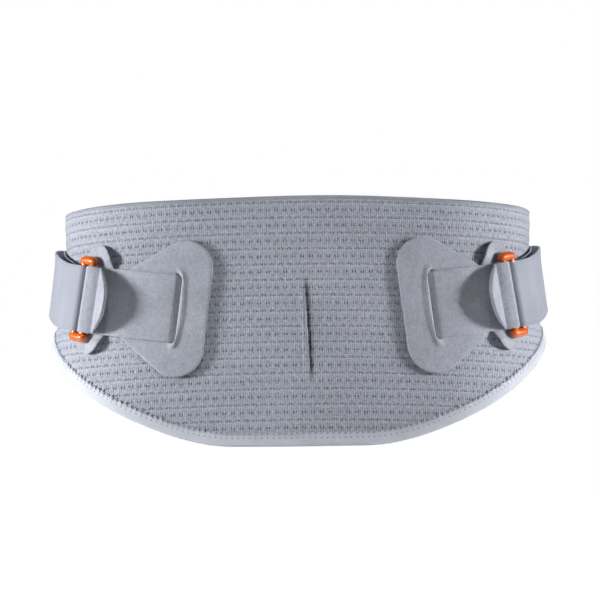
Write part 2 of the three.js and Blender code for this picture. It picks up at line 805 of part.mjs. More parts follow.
// One side of the belt, drawn on the wearer's right. The left side is its mirror image.
function sideGroup(side, outer) {
  const group = new THREE.Group();
  const add = (name, geometry, material) => group.add(meshOf(`${side}_${name}`, geometry, material));
  const wing = wingPanel(outer);
  add("wing_panel", wing.wing_panel, "knit");
  add("wing_lining", wing.wing_lining, "lining");
  add("wing_bottom_binding", wing.wing_bottom_binding, "binding");
  add("wing_top_binding", wing.wing_top_binding, "binding");
  add(outer ? "closure_hook_patch" : "closure_loop_patch", closurePatch(outer), outer ? "hook" : "velour");
  if (outer) add("closure_pull_loop", pullLoop(), "elastic");
  add("strap_front", wingStrap(), "elastic");
  add("strap_end_tab", strapTab(), "velour");
  add("elastic_strap", elasticStrap(), "elastic");
  add("ring", ring(), "ring");
  add("guard_patch", guardPatch(), "velour");
  add("pad_strap", padStrap(SLOT_STATION[side]), "velour");
  const { pad, pad_hook } = grabPad(SLOT_STATION[side]);
  add("grab_pad", pad, "velour");
  add("grab_pad_hook", pad_hook, "hook");
  const { sacral_pad, sacral_pad_hook } = sacralPad();
  add("sacral_pad", sacral_pad, "padFoam");
  add("sacral_pad_hook", sacral_pad_hook, "hook");
  group.scale.x = side === "left" ? -1 : 1;
  return group;
}

const belt = new THREE.Group();
belt.add(backGroup(), sideGroup("right", true), sideGroup("left", false));

export default belt;
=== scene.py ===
"""A lumbar support belt, closed as it is worn. Lengths in this file are millimetres until a mesh is made.

The belt is drawn on one form: a station is a distance round the waist from the middle of the back, a
level is a height, and an offset is a distance out from the knit's outer face.
"""

import json
import math
from types import SimpleNamespace

import bpy
import numpy as np
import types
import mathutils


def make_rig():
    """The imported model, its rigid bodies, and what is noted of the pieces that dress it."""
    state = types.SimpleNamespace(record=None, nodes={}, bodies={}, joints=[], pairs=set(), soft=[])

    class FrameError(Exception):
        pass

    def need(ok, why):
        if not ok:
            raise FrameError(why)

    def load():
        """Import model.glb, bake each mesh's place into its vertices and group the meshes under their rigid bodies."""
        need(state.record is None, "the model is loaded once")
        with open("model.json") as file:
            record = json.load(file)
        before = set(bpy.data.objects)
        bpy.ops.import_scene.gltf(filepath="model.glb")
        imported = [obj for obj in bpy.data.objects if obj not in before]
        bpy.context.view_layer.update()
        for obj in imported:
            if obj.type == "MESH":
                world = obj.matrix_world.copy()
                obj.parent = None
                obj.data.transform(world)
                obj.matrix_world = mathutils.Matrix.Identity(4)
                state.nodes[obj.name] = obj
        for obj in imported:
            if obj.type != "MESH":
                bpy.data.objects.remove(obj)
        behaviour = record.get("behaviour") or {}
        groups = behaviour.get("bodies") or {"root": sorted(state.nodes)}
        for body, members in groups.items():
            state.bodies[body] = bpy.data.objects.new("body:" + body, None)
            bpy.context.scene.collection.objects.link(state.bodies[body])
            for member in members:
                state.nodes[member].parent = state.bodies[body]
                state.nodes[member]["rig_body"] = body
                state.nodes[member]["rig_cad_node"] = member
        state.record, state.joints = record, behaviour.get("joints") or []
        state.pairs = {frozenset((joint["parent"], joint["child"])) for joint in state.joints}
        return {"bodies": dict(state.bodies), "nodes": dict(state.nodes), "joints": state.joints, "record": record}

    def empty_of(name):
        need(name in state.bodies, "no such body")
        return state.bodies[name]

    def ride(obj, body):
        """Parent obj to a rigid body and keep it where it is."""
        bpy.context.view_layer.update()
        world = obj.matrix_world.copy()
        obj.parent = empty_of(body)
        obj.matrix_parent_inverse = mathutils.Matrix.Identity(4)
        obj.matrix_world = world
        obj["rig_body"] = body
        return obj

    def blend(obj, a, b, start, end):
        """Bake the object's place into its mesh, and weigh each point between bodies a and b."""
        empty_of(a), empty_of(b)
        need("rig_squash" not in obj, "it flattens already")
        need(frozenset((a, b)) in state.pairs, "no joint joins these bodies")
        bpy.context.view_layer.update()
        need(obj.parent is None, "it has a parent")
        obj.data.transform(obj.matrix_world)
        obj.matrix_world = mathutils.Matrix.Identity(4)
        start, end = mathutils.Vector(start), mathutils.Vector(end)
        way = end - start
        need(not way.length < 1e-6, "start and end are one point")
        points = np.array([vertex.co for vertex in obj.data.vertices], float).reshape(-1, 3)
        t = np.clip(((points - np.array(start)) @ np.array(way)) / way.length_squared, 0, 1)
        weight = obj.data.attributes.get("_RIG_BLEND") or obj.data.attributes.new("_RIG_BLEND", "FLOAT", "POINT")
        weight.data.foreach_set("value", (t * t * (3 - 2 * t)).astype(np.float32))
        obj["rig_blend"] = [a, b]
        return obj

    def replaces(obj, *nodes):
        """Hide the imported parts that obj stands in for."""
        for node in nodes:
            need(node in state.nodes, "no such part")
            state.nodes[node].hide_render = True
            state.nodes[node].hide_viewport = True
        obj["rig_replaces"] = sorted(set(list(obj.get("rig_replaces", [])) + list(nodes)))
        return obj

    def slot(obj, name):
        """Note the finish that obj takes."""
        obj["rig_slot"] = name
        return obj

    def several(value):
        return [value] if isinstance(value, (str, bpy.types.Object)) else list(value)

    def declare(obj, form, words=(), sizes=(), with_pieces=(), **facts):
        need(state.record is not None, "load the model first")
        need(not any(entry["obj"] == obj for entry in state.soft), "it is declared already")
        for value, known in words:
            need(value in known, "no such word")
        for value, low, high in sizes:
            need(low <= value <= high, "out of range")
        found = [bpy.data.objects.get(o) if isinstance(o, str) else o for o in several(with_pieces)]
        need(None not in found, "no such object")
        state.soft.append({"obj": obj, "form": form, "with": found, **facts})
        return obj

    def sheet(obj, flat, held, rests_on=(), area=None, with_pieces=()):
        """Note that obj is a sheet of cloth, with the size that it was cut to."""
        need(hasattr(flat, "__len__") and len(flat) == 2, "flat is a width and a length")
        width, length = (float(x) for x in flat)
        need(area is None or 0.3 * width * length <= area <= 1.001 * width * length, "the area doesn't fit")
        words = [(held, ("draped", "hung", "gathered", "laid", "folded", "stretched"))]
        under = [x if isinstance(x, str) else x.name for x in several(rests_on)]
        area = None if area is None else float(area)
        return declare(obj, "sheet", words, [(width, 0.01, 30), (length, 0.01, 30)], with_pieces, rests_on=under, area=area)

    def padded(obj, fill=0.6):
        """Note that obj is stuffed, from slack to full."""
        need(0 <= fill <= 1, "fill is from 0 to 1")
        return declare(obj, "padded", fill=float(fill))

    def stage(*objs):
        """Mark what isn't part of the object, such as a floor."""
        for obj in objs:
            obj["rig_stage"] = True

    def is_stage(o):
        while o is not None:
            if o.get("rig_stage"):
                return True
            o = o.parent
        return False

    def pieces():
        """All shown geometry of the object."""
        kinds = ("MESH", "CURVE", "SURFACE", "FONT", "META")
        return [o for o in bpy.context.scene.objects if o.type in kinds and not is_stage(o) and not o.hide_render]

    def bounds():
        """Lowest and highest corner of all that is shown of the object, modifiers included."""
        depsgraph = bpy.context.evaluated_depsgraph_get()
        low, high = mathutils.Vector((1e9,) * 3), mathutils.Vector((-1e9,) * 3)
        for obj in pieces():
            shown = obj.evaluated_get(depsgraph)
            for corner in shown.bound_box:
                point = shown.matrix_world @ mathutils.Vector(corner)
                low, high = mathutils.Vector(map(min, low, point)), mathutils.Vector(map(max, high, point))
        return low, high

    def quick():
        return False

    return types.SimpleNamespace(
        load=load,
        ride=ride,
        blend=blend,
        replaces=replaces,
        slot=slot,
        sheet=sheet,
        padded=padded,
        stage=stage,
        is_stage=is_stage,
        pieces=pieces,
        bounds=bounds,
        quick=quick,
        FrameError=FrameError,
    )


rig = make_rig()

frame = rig.load()
CAD_BOX = [[float(c) for c in corner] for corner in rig.bounds()]

DEG = math.pi / 180

# ---- The form: a flat back arc, two tight side arcs and a front arc ----

BACK_RADIUS, SIDE_RADIUS, FRONT_RADIUS = 360.0, 110.0, 268.0
BACK_TURN = 17.5 * DEG
SIDE_CENTRE_X = (BACK_RADIUS - SIDE_RADIUS) * math.sin(BACK_TURN)
BACK_CENTRE_Y = (BACK_RADIUS - SIDE_RADIUS) * math.cos(BACK_TURN)
FRONT_TURN = math.asin(SIDE_CENTRE_X / (FRONT_RADIUS - SIDE_RADIUS))
FRONT_CENTRE_Y = -(FRONT_RADIUS - SIDE_RADIUS) * math.cos(FRONT_TURN)
BACK_ARC = BACK_RADIUS * BACK_TURN
SIDE_ARC = SIDE_RADIUS * (math.pi - BACK_TURN - FRONT_TURN)
HALF_GIRTH = BACK_ARC + SIDE_ARC + FRONT_RADIUS * FRONT_TURN
SEAM = BACK_ARC + SIDE_RADIUS * (math.pi / 2 - BACK_TURN)

BACK_FLARE, SIDE_FLARE, FRONT_FLARE = 0.1, 0.125, 0.05
SQUEEZE, SQUEEZE_FULL, SQUEEZE_REACH = 4.5, 14.0, 60.0
TOP_AT_BACK, TOP_FALL = 86.0, 18.0
BOTTOM_AT_BACK, BOTTOM_RISE, RISE_STARTS, RISE_ENDS = -90.0, 74.0, 45.0, 272.0

KNIT, LINING, LAYER_GAP = 1.8, 0.8, 0.3
LINING_FACE = -(KNIT + LAYER_GAP + LINING)
SPLIT = 205.0  # where the back's pieces end and the wings' pieces begin

STRAP_WIDTH, STRAP = 48.0, 1.4
STRAP_CLIMB = math.tan(6 * DEG)
CLIMB_FROM, LEVEL_THERE, CLIMB_ENDS, CLIMB_FADE = 84.0, 7.3, 230.0, 60.0
SLOT_STATION = {"left": 88.0, "right": 98.0}

RING_STATION, RING_OFFSET = 161.0, 7.2
BAR_RADIUS, BAR_SPREAD, RING_CORNER = 2.5, 4.5, 3.0
RING_HALF_HEIGHT = STRAP_WIDTH / 2 + 0.9 + BAR_RADIUS
LOOP_RADIUS = BAR_RADIUS + 0.3 + STRAP / 2

WING_END = HALF_GIRTH + 42
WING_CORNER, CORNER_HEIGHT = 18.0, 0.94 * 18.0
OUTER_WING_LIFT, LIFT_STARTS, LIFT_ENDS = 5.6, 400.0, 452.0
CLOSURE_START, CLOSURE_END = HALF_GIRTH - 34, WING_END - 8
CLOSURE_LEVEL, CLOSURE_HALF_HEIGHT = 27.0, 29.0

SIDES = {"right": 1, "left": -1}  # the left side is the mirror image of the right


def smooth(low, high, value):
    """The smooth step from 0 at low to 1 at high."""
    t = np.clip((np.asarray(value, float) - low) / (high - low), 0, 1)
    return t * t * (3 - 2 * t)


def in_half(station):
    """The station's mirror image in the right half."""
    s = np.abs(np.asarray(station, float))
    return np.where(s > HALF_GIRTH, 2 * HALF_GIRTH - s, s)


def plan(station):
    """Place and outward direction in plan: arcs of three radii, each starting where the last one ends."""
    s = np.asarray(station, float)
    hand = np.where((s < 0) | (s > HALF_GIRTH), -1.0, 1.0)
    q = in_half(s)
    back, front = q <= BACK_ARC, q > BACK_ARC + SIDE_ARC
    turn = np.select(
        [back, front],
        [q / BACK_RADIUS, math.pi - (HALF_GIRTH - q) / FRONT_RADIUS],
        BACK_TURN + (q - BACK_ARC) / SIDE_RADIUS,
    )
    radius = np.select([back, front], [BACK_RADIUS, FRONT_RADIUS], SIDE_RADIUS)
    cx = np.where(back | front, 0.0, SIDE_CENTRE_X)
    cy = np.select([back, front], [BACK_CENTRE_Y, FRONT_CENTRE_Y], 0.0)
    nx, ny = np.sin(turn), -np.cos(turn)
    return hand * (cx + radius * nx), cy + radius * ny, hand * nx, ny


def strap_level(station):
    """Level of the straps' middle line: a steady climb that levels out past the side."""
    s = np.abs(np.asarray(station, float))
    past = np.clip((s - CLIMB_ENDS) / CLIMB_FADE, 0, 1)
    faded = CLIMB_FADE * (past - past * past / 2)
    return LEVEL_THERE + STRAP_CLIMB * (np.minimum(s, CLIMB_ENDS) - CLIMB_FROM + faded)


def lean(station, z):
    """How far the form stands out of its plan: a cone that widens downwards, drawn in under the strap."""
    s = in_half(station)
    flare = (
        BACK_FLARE
        + (SIDE_FLARE - BACK_FLARE) * smooth(60, 160, s)
        + (FRONT_FLARE - SIDE_FLARE) * smooth(280, 430, s)
    )
    band = 1 - smooth(SQUEEZE_FULL, SQUEEZE_REACH, np.abs(z - strap_level(s)))
    return -flare * z - SQUEEZE * band * smooth(165, 225, s) * (1 - smooth(290, 360, s))


def on_form(station, z, offset):
    """The point at a station and level, out along the form's plan normal by the offset."""
    station, z, offset = np.broadcast_arrays(*(np.asarray(a, float) for a in (station, z, offset)))
    x, y, nx, ny = plan(station)
    out = lean(station, z) + offset
    return np.stack([x + nx * out, y + ny * out, z], -1)


def on_strap(along, across, offset):
    """The point at a distance along and across the straps' climbing middle line."""
    climb = np.arctan((strap_level(along + 1) - strap_level(along - 1)) / 2)
    return on_form(along - across * np.sin(climb), strap_level(along) + across * np.cos(climb), offset)


def unit(v):
    return v / np.maximum(np.linalg.norm(v, axis=-1, keepdims=True), 1e-12)


def at_ring(ahead, up):
    """The straps' surface at a distance ahead of the ring's middle and up from it."""
    return on_strap(np.array(RING_STATION + ahead), up, RING_OFFSET)


RING_ORIGIN = at_ring(0, 0)
RING_T = unit(at_ring(1, 0) - at_ring(-1, 0))
RING_N = unit(np.cross(RING_T, at_ring(0, 10) - at_ring(0, -10)))
RING_W = unit(np.cross(RING_N, RING_T))


def in_ring(t, n, w):
    """A point of the ring's own flat frame: t forwards, n outwards, w up the ring."""
    t, n, w = np.broadcast_arrays(*(np.asarray(a, float) for a in (t, n, w)))
    return RING_ORIGIN + t[..., None] * RING_T + n[..., None] * RING_N + w[..., None] * RING_W


def near_ring(t, offset, across):
    """A strap's point: flat in the ring's frame close to it, and fading over to the form further away."""
    t, offset, across = np.broadcast_arrays(*(np.asarray(a, float) for a in (t, offset, across)))
    share = smooth(12, 30, np.abs(t))[..., None]
    flat = in_ring(t, offset - RING_OFFSET, across)
    return flat * (1 - share) + on_strap(RING_STATION + t, across, offset) * share


def top_fall(station):
    """How far the top edge, and each row of the knit with it, has come down at a station."""
    return TOP_FALL * (1 - np.cos(math.pi * in_half(station) / HALF_GIRTH)) / 2


def row_level(station, z):
    """Level of a point counted along the knit: its rows run level with the top edge, and lower down they
    fall a little faster towards the sides."""
    return z + top_fall(station) * (1 + 0.6 * smooth(-70, 30, -np.asarray(z, float)))


def top_edge(station):
    return TOP_AT_BACK - top_fall(station) + 0.35 * np.sin(np.asarray(station, float) / 29 + 0.7)


def bottom_edge(station):
    return BOTTOM_AT_BACK + BOTTOM_RISE * smooth(RISE_STARTS, RISE_ENDS, in_half(station))


def corner_share(station):
    """0 along a wing, rising on a quarter circle to 1 at its free end."""
    into = np.clip((station - (WING_END - WING_CORNER)) / WING_CORNER, 0, 1)
    return 1 - np.sqrt(1 - into**2)


def upper_edge(station):
    """The top edge with the wings' round corners."""
    return top_edge(station) - CORNER_HEIGHT * corner_share(station)


def lower_edge(station):
    """The bottom edge with the wings' round corners."""
    return bottom_edge(station) + CORNER_HEIGHT * corner_share(station)


def ripple(station, z):
    """Slow waves of the worn cloth, strongest along its edges."""
    s = np.asarray(station, float)
    near_top = 1 - smooth(0, 34, top_edge(s) - z)
    near_bottom = 1 - smooth(0, 34, z - bottom_edge(s))
    return (
        0.6 * near_top * np.sin(s / 17 + 0.6)
        + 0.55 * near_bottom * np.sin(s / 22 + 2.1)
        + 0.15 * np.sin(s / 37 + 1) * np.cos(z / 29)
    )


# ---- The knit's pattern, the same sums for its relief and for its colour ----

PITCH = 6.15  # from one eyelet to the next along a row
ROW = 11.0  # from one row of eyelets to the next

CREASE_FROM, CREASE_TO = -36.0, 22.0  # the short upright crease beside the middle of the back
CREASE_STATION, CREASE_LEAN = 6.6, 0.05


def crease_station(z):
    return CREASE_STATION - CREASE_LEAN * z


ARRAYS = SimpleNamespace(fract=lambda a: a - np.floor(a), exp=np.exp, abs=np.abs, cos=np.cos)


def bell(op, x, width):
    """1 at x = 0, falling off as a bell of that width."""
    t = x / width
    return op.exp(t * t * -1.0)


def eyelets(u, v, op):
    """Dark openings: an M at each step of a row, and half-way up a small roof shifted by half a step."""
    x = op.abs((op.fract(u / PITCH) - 0.5) * PITCH)
    y = (op.fract(v / ROW + 0.5) - 0.5) * ROW
    x_roof = op.abs((op.fract(u / PITCH + 0.5) - 0.5) * PITCH)
    y_roof = (op.fract(v / ROW) - 0.5) * ROW
    leg = bell(op, x - 1.1, 0.36)
    legs = leg * bell(op, y, 0.7) + 0.3 * leg * bell(op, y, 2.4)
    dip = bell(op, x, 0.8) * bell(op, y + 0.5, 0.34)
    feet = bell(op, x_roof - 1.3, 0.4) * bell(op, y_roof + 0.15, 0.6)
    ridge = bell(op, x_roof, 0.85) * bell(op, y_roof - 0.5, 0.34)
    dashes = bell(op, y_roof + 0.3, 0.3)
    return legs + 0.65 * dip, feet + 0.7 * ridge + 0.3 * dashes


def ribs(u, v, op):
    """Fine upright ribs and level courses, with raised courses round each row of roofs."""
    upright = op.cos(u * (2 * math.pi * 4 / PITCH))
    courses = op.cos(v * (2 * math.pi * 8 / ROW))
    y_roof = (op.fract(v / ROW) - 0.5) * ROW
    raised = bell(op, y_roof + 1.3, 0.35) + 0.8 * bell(op, y_roof + 2.2, 0.35)
    return upright, courses, raised + 0.5 * bell(op, y_roof - 1.7, 0.4)


# ---- Meshes ----

SHARP = 62 * DEG  # faces that meet at more than this have an edge between them


def shell(front, back, step=1):
    """Points and faces of a closed sheet between two grids. The front faces along its first index crossed
    with its second, and the back may have only every step-th line of the front."""
    ni, nj = front.shape[0] - 1, front.shape[1] - 1
    mi, mj = ni // step, nj // step
    f = np.arange((ni + 1) * (nj + 1)).reshape(ni + 1, nj + 1)
    b = f.size + np.arange((mi + 1) * (mj + 1)).reshape(mi + 1, mj + 1)
    faces = []
    faces += np.stack([f[:-1, :-1], f[1:, :-1], f[1:, 1:], f[:-1, 1:]], -1).reshape(-1, 4).tolist()
    faces += np.stack([b[:-1, :-1], b[:-1, 1:], b[1:, 1:], b[1:, :-1]], -1).reshape(-1, 4).tolist()

    def rim(fine, coarse, along):
        """Faces from each coarse edge to the fine points beside it."""
        cells = len(coarse) - 1
        run = np.arange(cells)[:, None] * step + np.arange(step + 1)[None, :]
        fine_run, ends = fine[run], np.stack([coarse[1:], coarse[:-1]], -1)
        if not along:
            fine_run, ends = fine_run[:, ::-1], ends[:, ::-1]
        return np.concatenate([fine_run, ends], 1).tolist()

    faces += rim(f[:, 0], b[:, 0], False) + rim(f[:, -1], b[:, -1], True)
    faces += rim(f[0], b[0], True) + rim(f[-1], b[-1], False)
    return np.concatenate([front.reshape(-1, 3), back.reshape(-1, 3)]), faces


def round_quads(a, b):
    """Faces between two rows of point numbers that each run round a closed line."""
    return np.stack([a, np.roll(a, -1, -1), np.roll(b, -1, -1), b], -1).reshape(-1, 4).tolist()


def tube(line, lift, radius, sides=6, closed=False, flat=1.0):
    """Points and faces of a tube round a line, with lift as the direction of its first corner."""
    t = unit(np.roll(line, -1, 0) - np.roll(line, 1, 0)) if closed else unit(np.gradient(line, axis=0))
    side = unit(np.cross(t, lift))
    up = np.cross(side, t)
    a = np.arange(sides) * 2 * math.pi / sides
    radius = np.broadcast_to(radius, len(line))[:, None, None]
    around = np.cos(a)[:, None] * up[:, None] * flat + np.sin(a)[:, None] * side[:, None]
    ids = np.arange(len(line) * sides).reshape(-1, sides)
    points = (line[:, None] + radius * around).reshape(-1, 3)
    if closed:
        return points, round_quads(ids, np.roll(ids, -1, 0))
    return points, round_quads(ids[:-1], ids[1:]) + [ids[0][::-1].tolist(), ids[-1].tolist()]


def joined(solids):
    """Several solids as one list of points and one of faces."""
    points, faces, start = [], [], 0
    for p, fs in solids:
        points.append(p)
        faces += [[i + start for i in face] for face in fs]
        start += len(p)
    return np.concatenate(points), faces


RIM_LINES = np.array([0, 0.13, 0.48])  # the crowded lines inside an edge, as shares of its rounded rim


def rounded(share):
    """Share of the full thickness at a share of the rim: a quarter circle from 0.25 at the edge to 1."""
    return 0.25 + 0.75 * np.sqrt(1 - (1 - np.clip(share, 0, 1)) ** 2)


def with_rims(low, high, step, rim):
    """Even lines from low to high, with three crowded ones inside each end."""
    count = max(2, math.ceil((high - low - 2 * rim) / step) + 1)
    end = rim * RIM_LINES
    return np.concatenate([low + end, np.linspace(low + rim, high - rim, count), (high - end)[::-1]])


def run_of(points):
    """Distance along a line at each of its points."""
    return np.concatenate([[0], np.cumsum(np.linalg.norm(np.diff(points, axis=0), axis=1))])


def left_of(path):
    """Unit directions to the left of a flat path."""
    d = unit(np.gradient(path, axis=0))
    return np.stack([-d[:, 1], d[:, 0]], -1)


def spaced(points, count, closed=False):
    """The same line in that many equal steps. A closed line doesn't repeat its first point."""
    p = np.asarray(points, float)
    if closed:
        p = np.vstack([p, p[:1]])
    far = run_of(p)
    at = np.linspace(0, far[-1], count + 1)
    line = np.stack([np.interp(at, far, column) for column in p.T], -1)
    return line[:-1] if closed else line


def through(points, count):
    """Evenly spaced points of the smooth curve through a few points: cubic pieces whose slope at each
    point is half the step between its neighbours."""
    p = np.asarray(points, float)
    x = np.linspace(0, len(p) - 1, 400)
    k = np.minimum(x.astype(int), len(p) - 2)
    w = (x - k)[:, None]
    p0, p1, p2, p3 = p[np.maximum(k - 1, 0)], p[k], p[k + 1], p[np.minimum(k + 2, len(p) - 1)]
    v0, v1 = (p2 - p0) / 2, (p3 - p1) / 2
    curve = (2 * p1 - 2 * p2 + v0 + v1) * w**3 + (-3 * p1 + 3 * p2 - 2 * v0 - v1) * w**2 + v0 * w + p1
    return spaced(curve, count)


def round_end(half, count=20):
    """Steps along a strap's half-round end, as shares of its length, and its half width at each."""
    share = np.sin(np.linspace(0, 1, count + 1)[1:] * math.pi / 2) * 0.995
    return share, half * np.sqrt(1 - share**2)


def ribbon(path, place, half_width, thickness, across_step=3.0, rim=1.2):
    """A strap that follows a path of [t, offset] points with half its thickness on each side."""
    half_width = np.broadcast_to(half_width, len(path)).astype(float)
    lines = with_rims(-half_width.max(), half_width.max(), across_step, rim)
    from_edge = np.minimum(lines - lines[0], lines[-1] - lines)
    thin = rounded(from_edge / rim) * np.broadcast_to(thickness, len(path))[:, None] / 2
    across = half_width[:, None] * lines / half_width.max()
    normal = left_of(path)
    grids = [
        place(path[:, :1] + hand * normal[:, :1] * thin, path[:, 1:] + hand * normal[:, 1:] * thin, across)
        for hand in (1, -1)
    ]
    cloth = np.stack(np.broadcast_arrays(run_of(path)[:, None], across), -1).reshape(-1, 2)
    return *shell(*grids), np.concatenate([cloth, cloth])


def plate(outline, middle, rings, face, thickness, rim=1.4):
    """A soft plate inside an outline: rings that shrink to its middle, crowded and rounded at the edge.
    face gives a point from two flat coordinates and a height from half the thickness down to minus half."""
    outline, middle = np.asarray(outline, float), np.asarray(middle, float)
    soft = rim / np.linalg.norm(outline - middle, axis=1).min()
    shares = np.concatenate([np.linspace(0, 1 - soft, rings + 1)[1:], 1 - soft * RIM_LINES[::-1]])
    depth = np.concatenate([np.ones(rings), rounded(RIM_LINES[::-1])])
    flat = middle + (outline - middle) * shares[:, None, None]
    size = len(outline) * len(shares)
    points, faces, edges = [], [], []
    for hand, hub in ((1, 0), (-1, size + 1)):
        height = np.broadcast_to((hand * depth / 2)[:, None] * thickness, flat.shape[:2])
        points += [face(*middle, np.array(hand * thickness / 2)).reshape(1, 3)]
        points += [face(flat[..., 0], flat[..., 1], height).reshape(-1, 3)]
        ids = hub + 1 + np.arange(size).reshape(-1, len(outline))
        fan = np.stack([np.full(len(outline), hub), ids[0], np.roll(ids[0], -1)], -1)
        faces += fan[:, ::hand].tolist()
        faces += round_quads(*((ids[1:], ids[:-1]) if hand > 0 else (ids[:-1], ids[1:])))
        edges.append(ids[-1])
    cloth = np.concatenate([middle[None], flat.reshape(-1, 2)])
    return np.concatenate(points), faces + round_quads(*edges[::-1]), np.concatenate([cloth, cloth])


STITCH_LENGTH, STITCH_RADIUS = 0.62, 0.32  # a stitch's share of its step, and half its width


def stitch_row(place, path, offset):
    """Small oval stitches laid end to end along a path of [a, b] points on a surface."""
    ends = place(path[:, 0], path[:, 1], offset)
    lift = unit(place(path[:, 0], path[:, 1], offset + 0.5) - ends)[:-1]
    along = ends[1:] - ends[:-1]
    middle = (ends[1:] + ends[:-1]) / 2
    side = unit(np.cross(along, lift))
    a = np.arange(6)[:, None] * math.pi / 3
    around = STITCH_RADIUS * (np.cos(a) * lift[:, None] * 0.8 + np.sin(a) * side[:, None])
    rows = [(-0.5, 0.3), (-0.32, 1.0), (0.32, 1.0), (0.5, 0.3)]
    points = np.stack([(middle + along * x * STITCH_LENGTH)[:, None] + r * around for x, r in rows], 1)
    ids = np.arange(points[..., 0].size).reshape(-1, 4, 6)
    caps = ids[:, 0, ::-1].tolist() + ids[:, -1].tolist()
    return points.reshape(-1, 3), round_quads(ids[:, :-1], ids[:, 1:]) + caps


# ---- Finishes ----


class Wire:
    """A number that changes over a surface. Sums with it become Math nodes."""

    def __init__(self, tree, socket):
        self.tree, self.socket = tree, socket

    def math(self, kind, first, second=None):
        node = self.tree.nodes.new("ShaderNodeMath")
        node.operation = kind
        for value, socket in zip((first, second), node.inputs):
            if isinstance(value, Wire):
                self.tree.links.new(value.socket, socket)
            elif value is not None:
                socket.default_value = value
        return Wire(self.tree, node.outputs[0])

    def __add__(self, other):
        return self.math("ADD", self, other)

    def __sub__(self, other):
        return self.math("SUBTRACT", self, other)

    def __rsub__(self, other):
        return self.math("SUBTRACT", other, self)

    def __mul__(self, other):
        return self.math("MULTIPLY", self, other)

    def __truediv__(self, other):
        return self.math("DIVIDE", self, other)

    __radd__, __rmul__ = __add__, __mul__


WIRES = SimpleNamespace(
    fract=lambda a: a.math("FRACT", a),
    exp=lambda a: a.math("EXPONENT", a),
    abs=lambda a: a.math("ABSOLUTE", a),
    cos=lambda a: a.math("COSINE", a),
)


def wave(value, length):
    """A wave from -1 to 1 that repeats over that length."""
    return WIRES.cos(value * (2 * math.pi / length))


class Finish:
    """A node material with one Principled shader. Plain values go straight onto the shader's sockets."""

    def __init__(self, name, roughness, **sockets):
        self.material = bpy.data.materials.new(name)
        self.material.use_nodes = True
        self.tree = self.material.node_tree
        self.shader = self.tree.nodes["Principled BSDF"]
        self.set(self.shader, Roughness=roughness, **sockets)

    @staticmethod
    def set(node, **sockets):
        for key, value in sockets.items():
            node.inputs[key.replace("_", " ")].default_value = value

    def link(self, source, socket):
        self.tree.links.new(source.socket if isinstance(source, Wire) else source, socket)

    def node(self, kind, **sockets):
        node = self.tree.nodes.new("ShaderNode" + kind)
        self.set(node, **sockets)
        return node

    def read(self, kind, source, socket=0, output=0, **sockets):
        """The output of a new node that reads a source."""
        node = self.node(kind, **sockets)
        self.link(source, node.inputs[socket])
        return Wire(self.tree, node.outputs[output])

    def cloth(self):
        """The piece's own cloth map: millimetres along and across it."""
        source = self.node("UVMap")
        source.uv_map = "cloth"
        split = self.node("SeparateXYZ")
        self.link(source.outputs["UV"], split.inputs[0])
        return Wire(self.tree, split.outputs["X"]), Wire(self.tree, split.outputs["Y"])

    def noise(self, grain, detail=2.0):
        """Soft noise from 0 to 1 with lumps of about that many millimetres."""
        place = self.node("TexCoord").outputs["Object"]
        return self.read("TexNoise", place, "Vector", Scale=1000 / grain, Detail=detail)

    def strokes(self, u, v, wide, tall):
        """Soft noise from 0 to 1, in strokes of that many millimetres along and across the cloth."""
        place = self.node("CombineXYZ")
        self.link(u / wide, place.inputs[0])
        self.link(v / tall, place.inputs[1])
        return self.read("TexNoise", place.outputs[0], "Vector", Scale=1.0, Detail=1.5)

    def cells(self, grain):
        """Distance from the nearest of scattered dots that lie about that many millimetres apart."""
        place = self.node("TexCoord").outputs["Object"]
        return self.read("TexVoronoi", place, "Vector", "Distance", Scale=1000 / grain)

    def span(self, value, low, high):
        """1 between two levels, fading out over 8 millimetres beyond each."""
        below = self.read("MapRange", value, From_Min=low - 8, From_Max=low)
        return self.read("MapRange", value, From_Min=high + 8, From_Max=high) * (below * 1.0)

    def between(self, share, low, high):
        """Colour that goes from low to high as the share goes from 0 to 1. The two are 8-bit display
        values, and the shader gets the linear light that they stand for."""
        mix = self.node("Mix")
        mix.data_type = "RGBA"
        self.link(share, mix.inputs[0])
        for socket, colour in ((mix.inputs[6], low), (mix.inputs[7], high)):
            c = np.array(colour) / 255
            linear = np.where(c <= 0.04045, c / 12.92, ((c + 0.055) / 1.055) ** 2.4)
            socket.default_value = (*linear.tolist(), 1.0)
        self.link(mix.outputs[2], self.shader.inputs["Base Color"])

    def bump(self, height, distance, strength=1.0):
        """Relief of that many millimetres for a height of 1."""
        relief = self.read("Bump", height, "Height", Distance=distance / 1000, Strength=strength)
        self.link(relief, self.shader.inputs["Normal"])

    def rough(self, share, low, high):
        """Roughness that goes from low to high as the share goes from 0 to 1."""
        self.link(self.read("MapRange", share, To_Min=low, To_Max=high), self.shader.inputs["Roughness"])


CLOTH_SHEEN = dict(Sheen_Weight=0.12, Sheen_Roughness=0.5, Specular_IOR_Level=0.25)


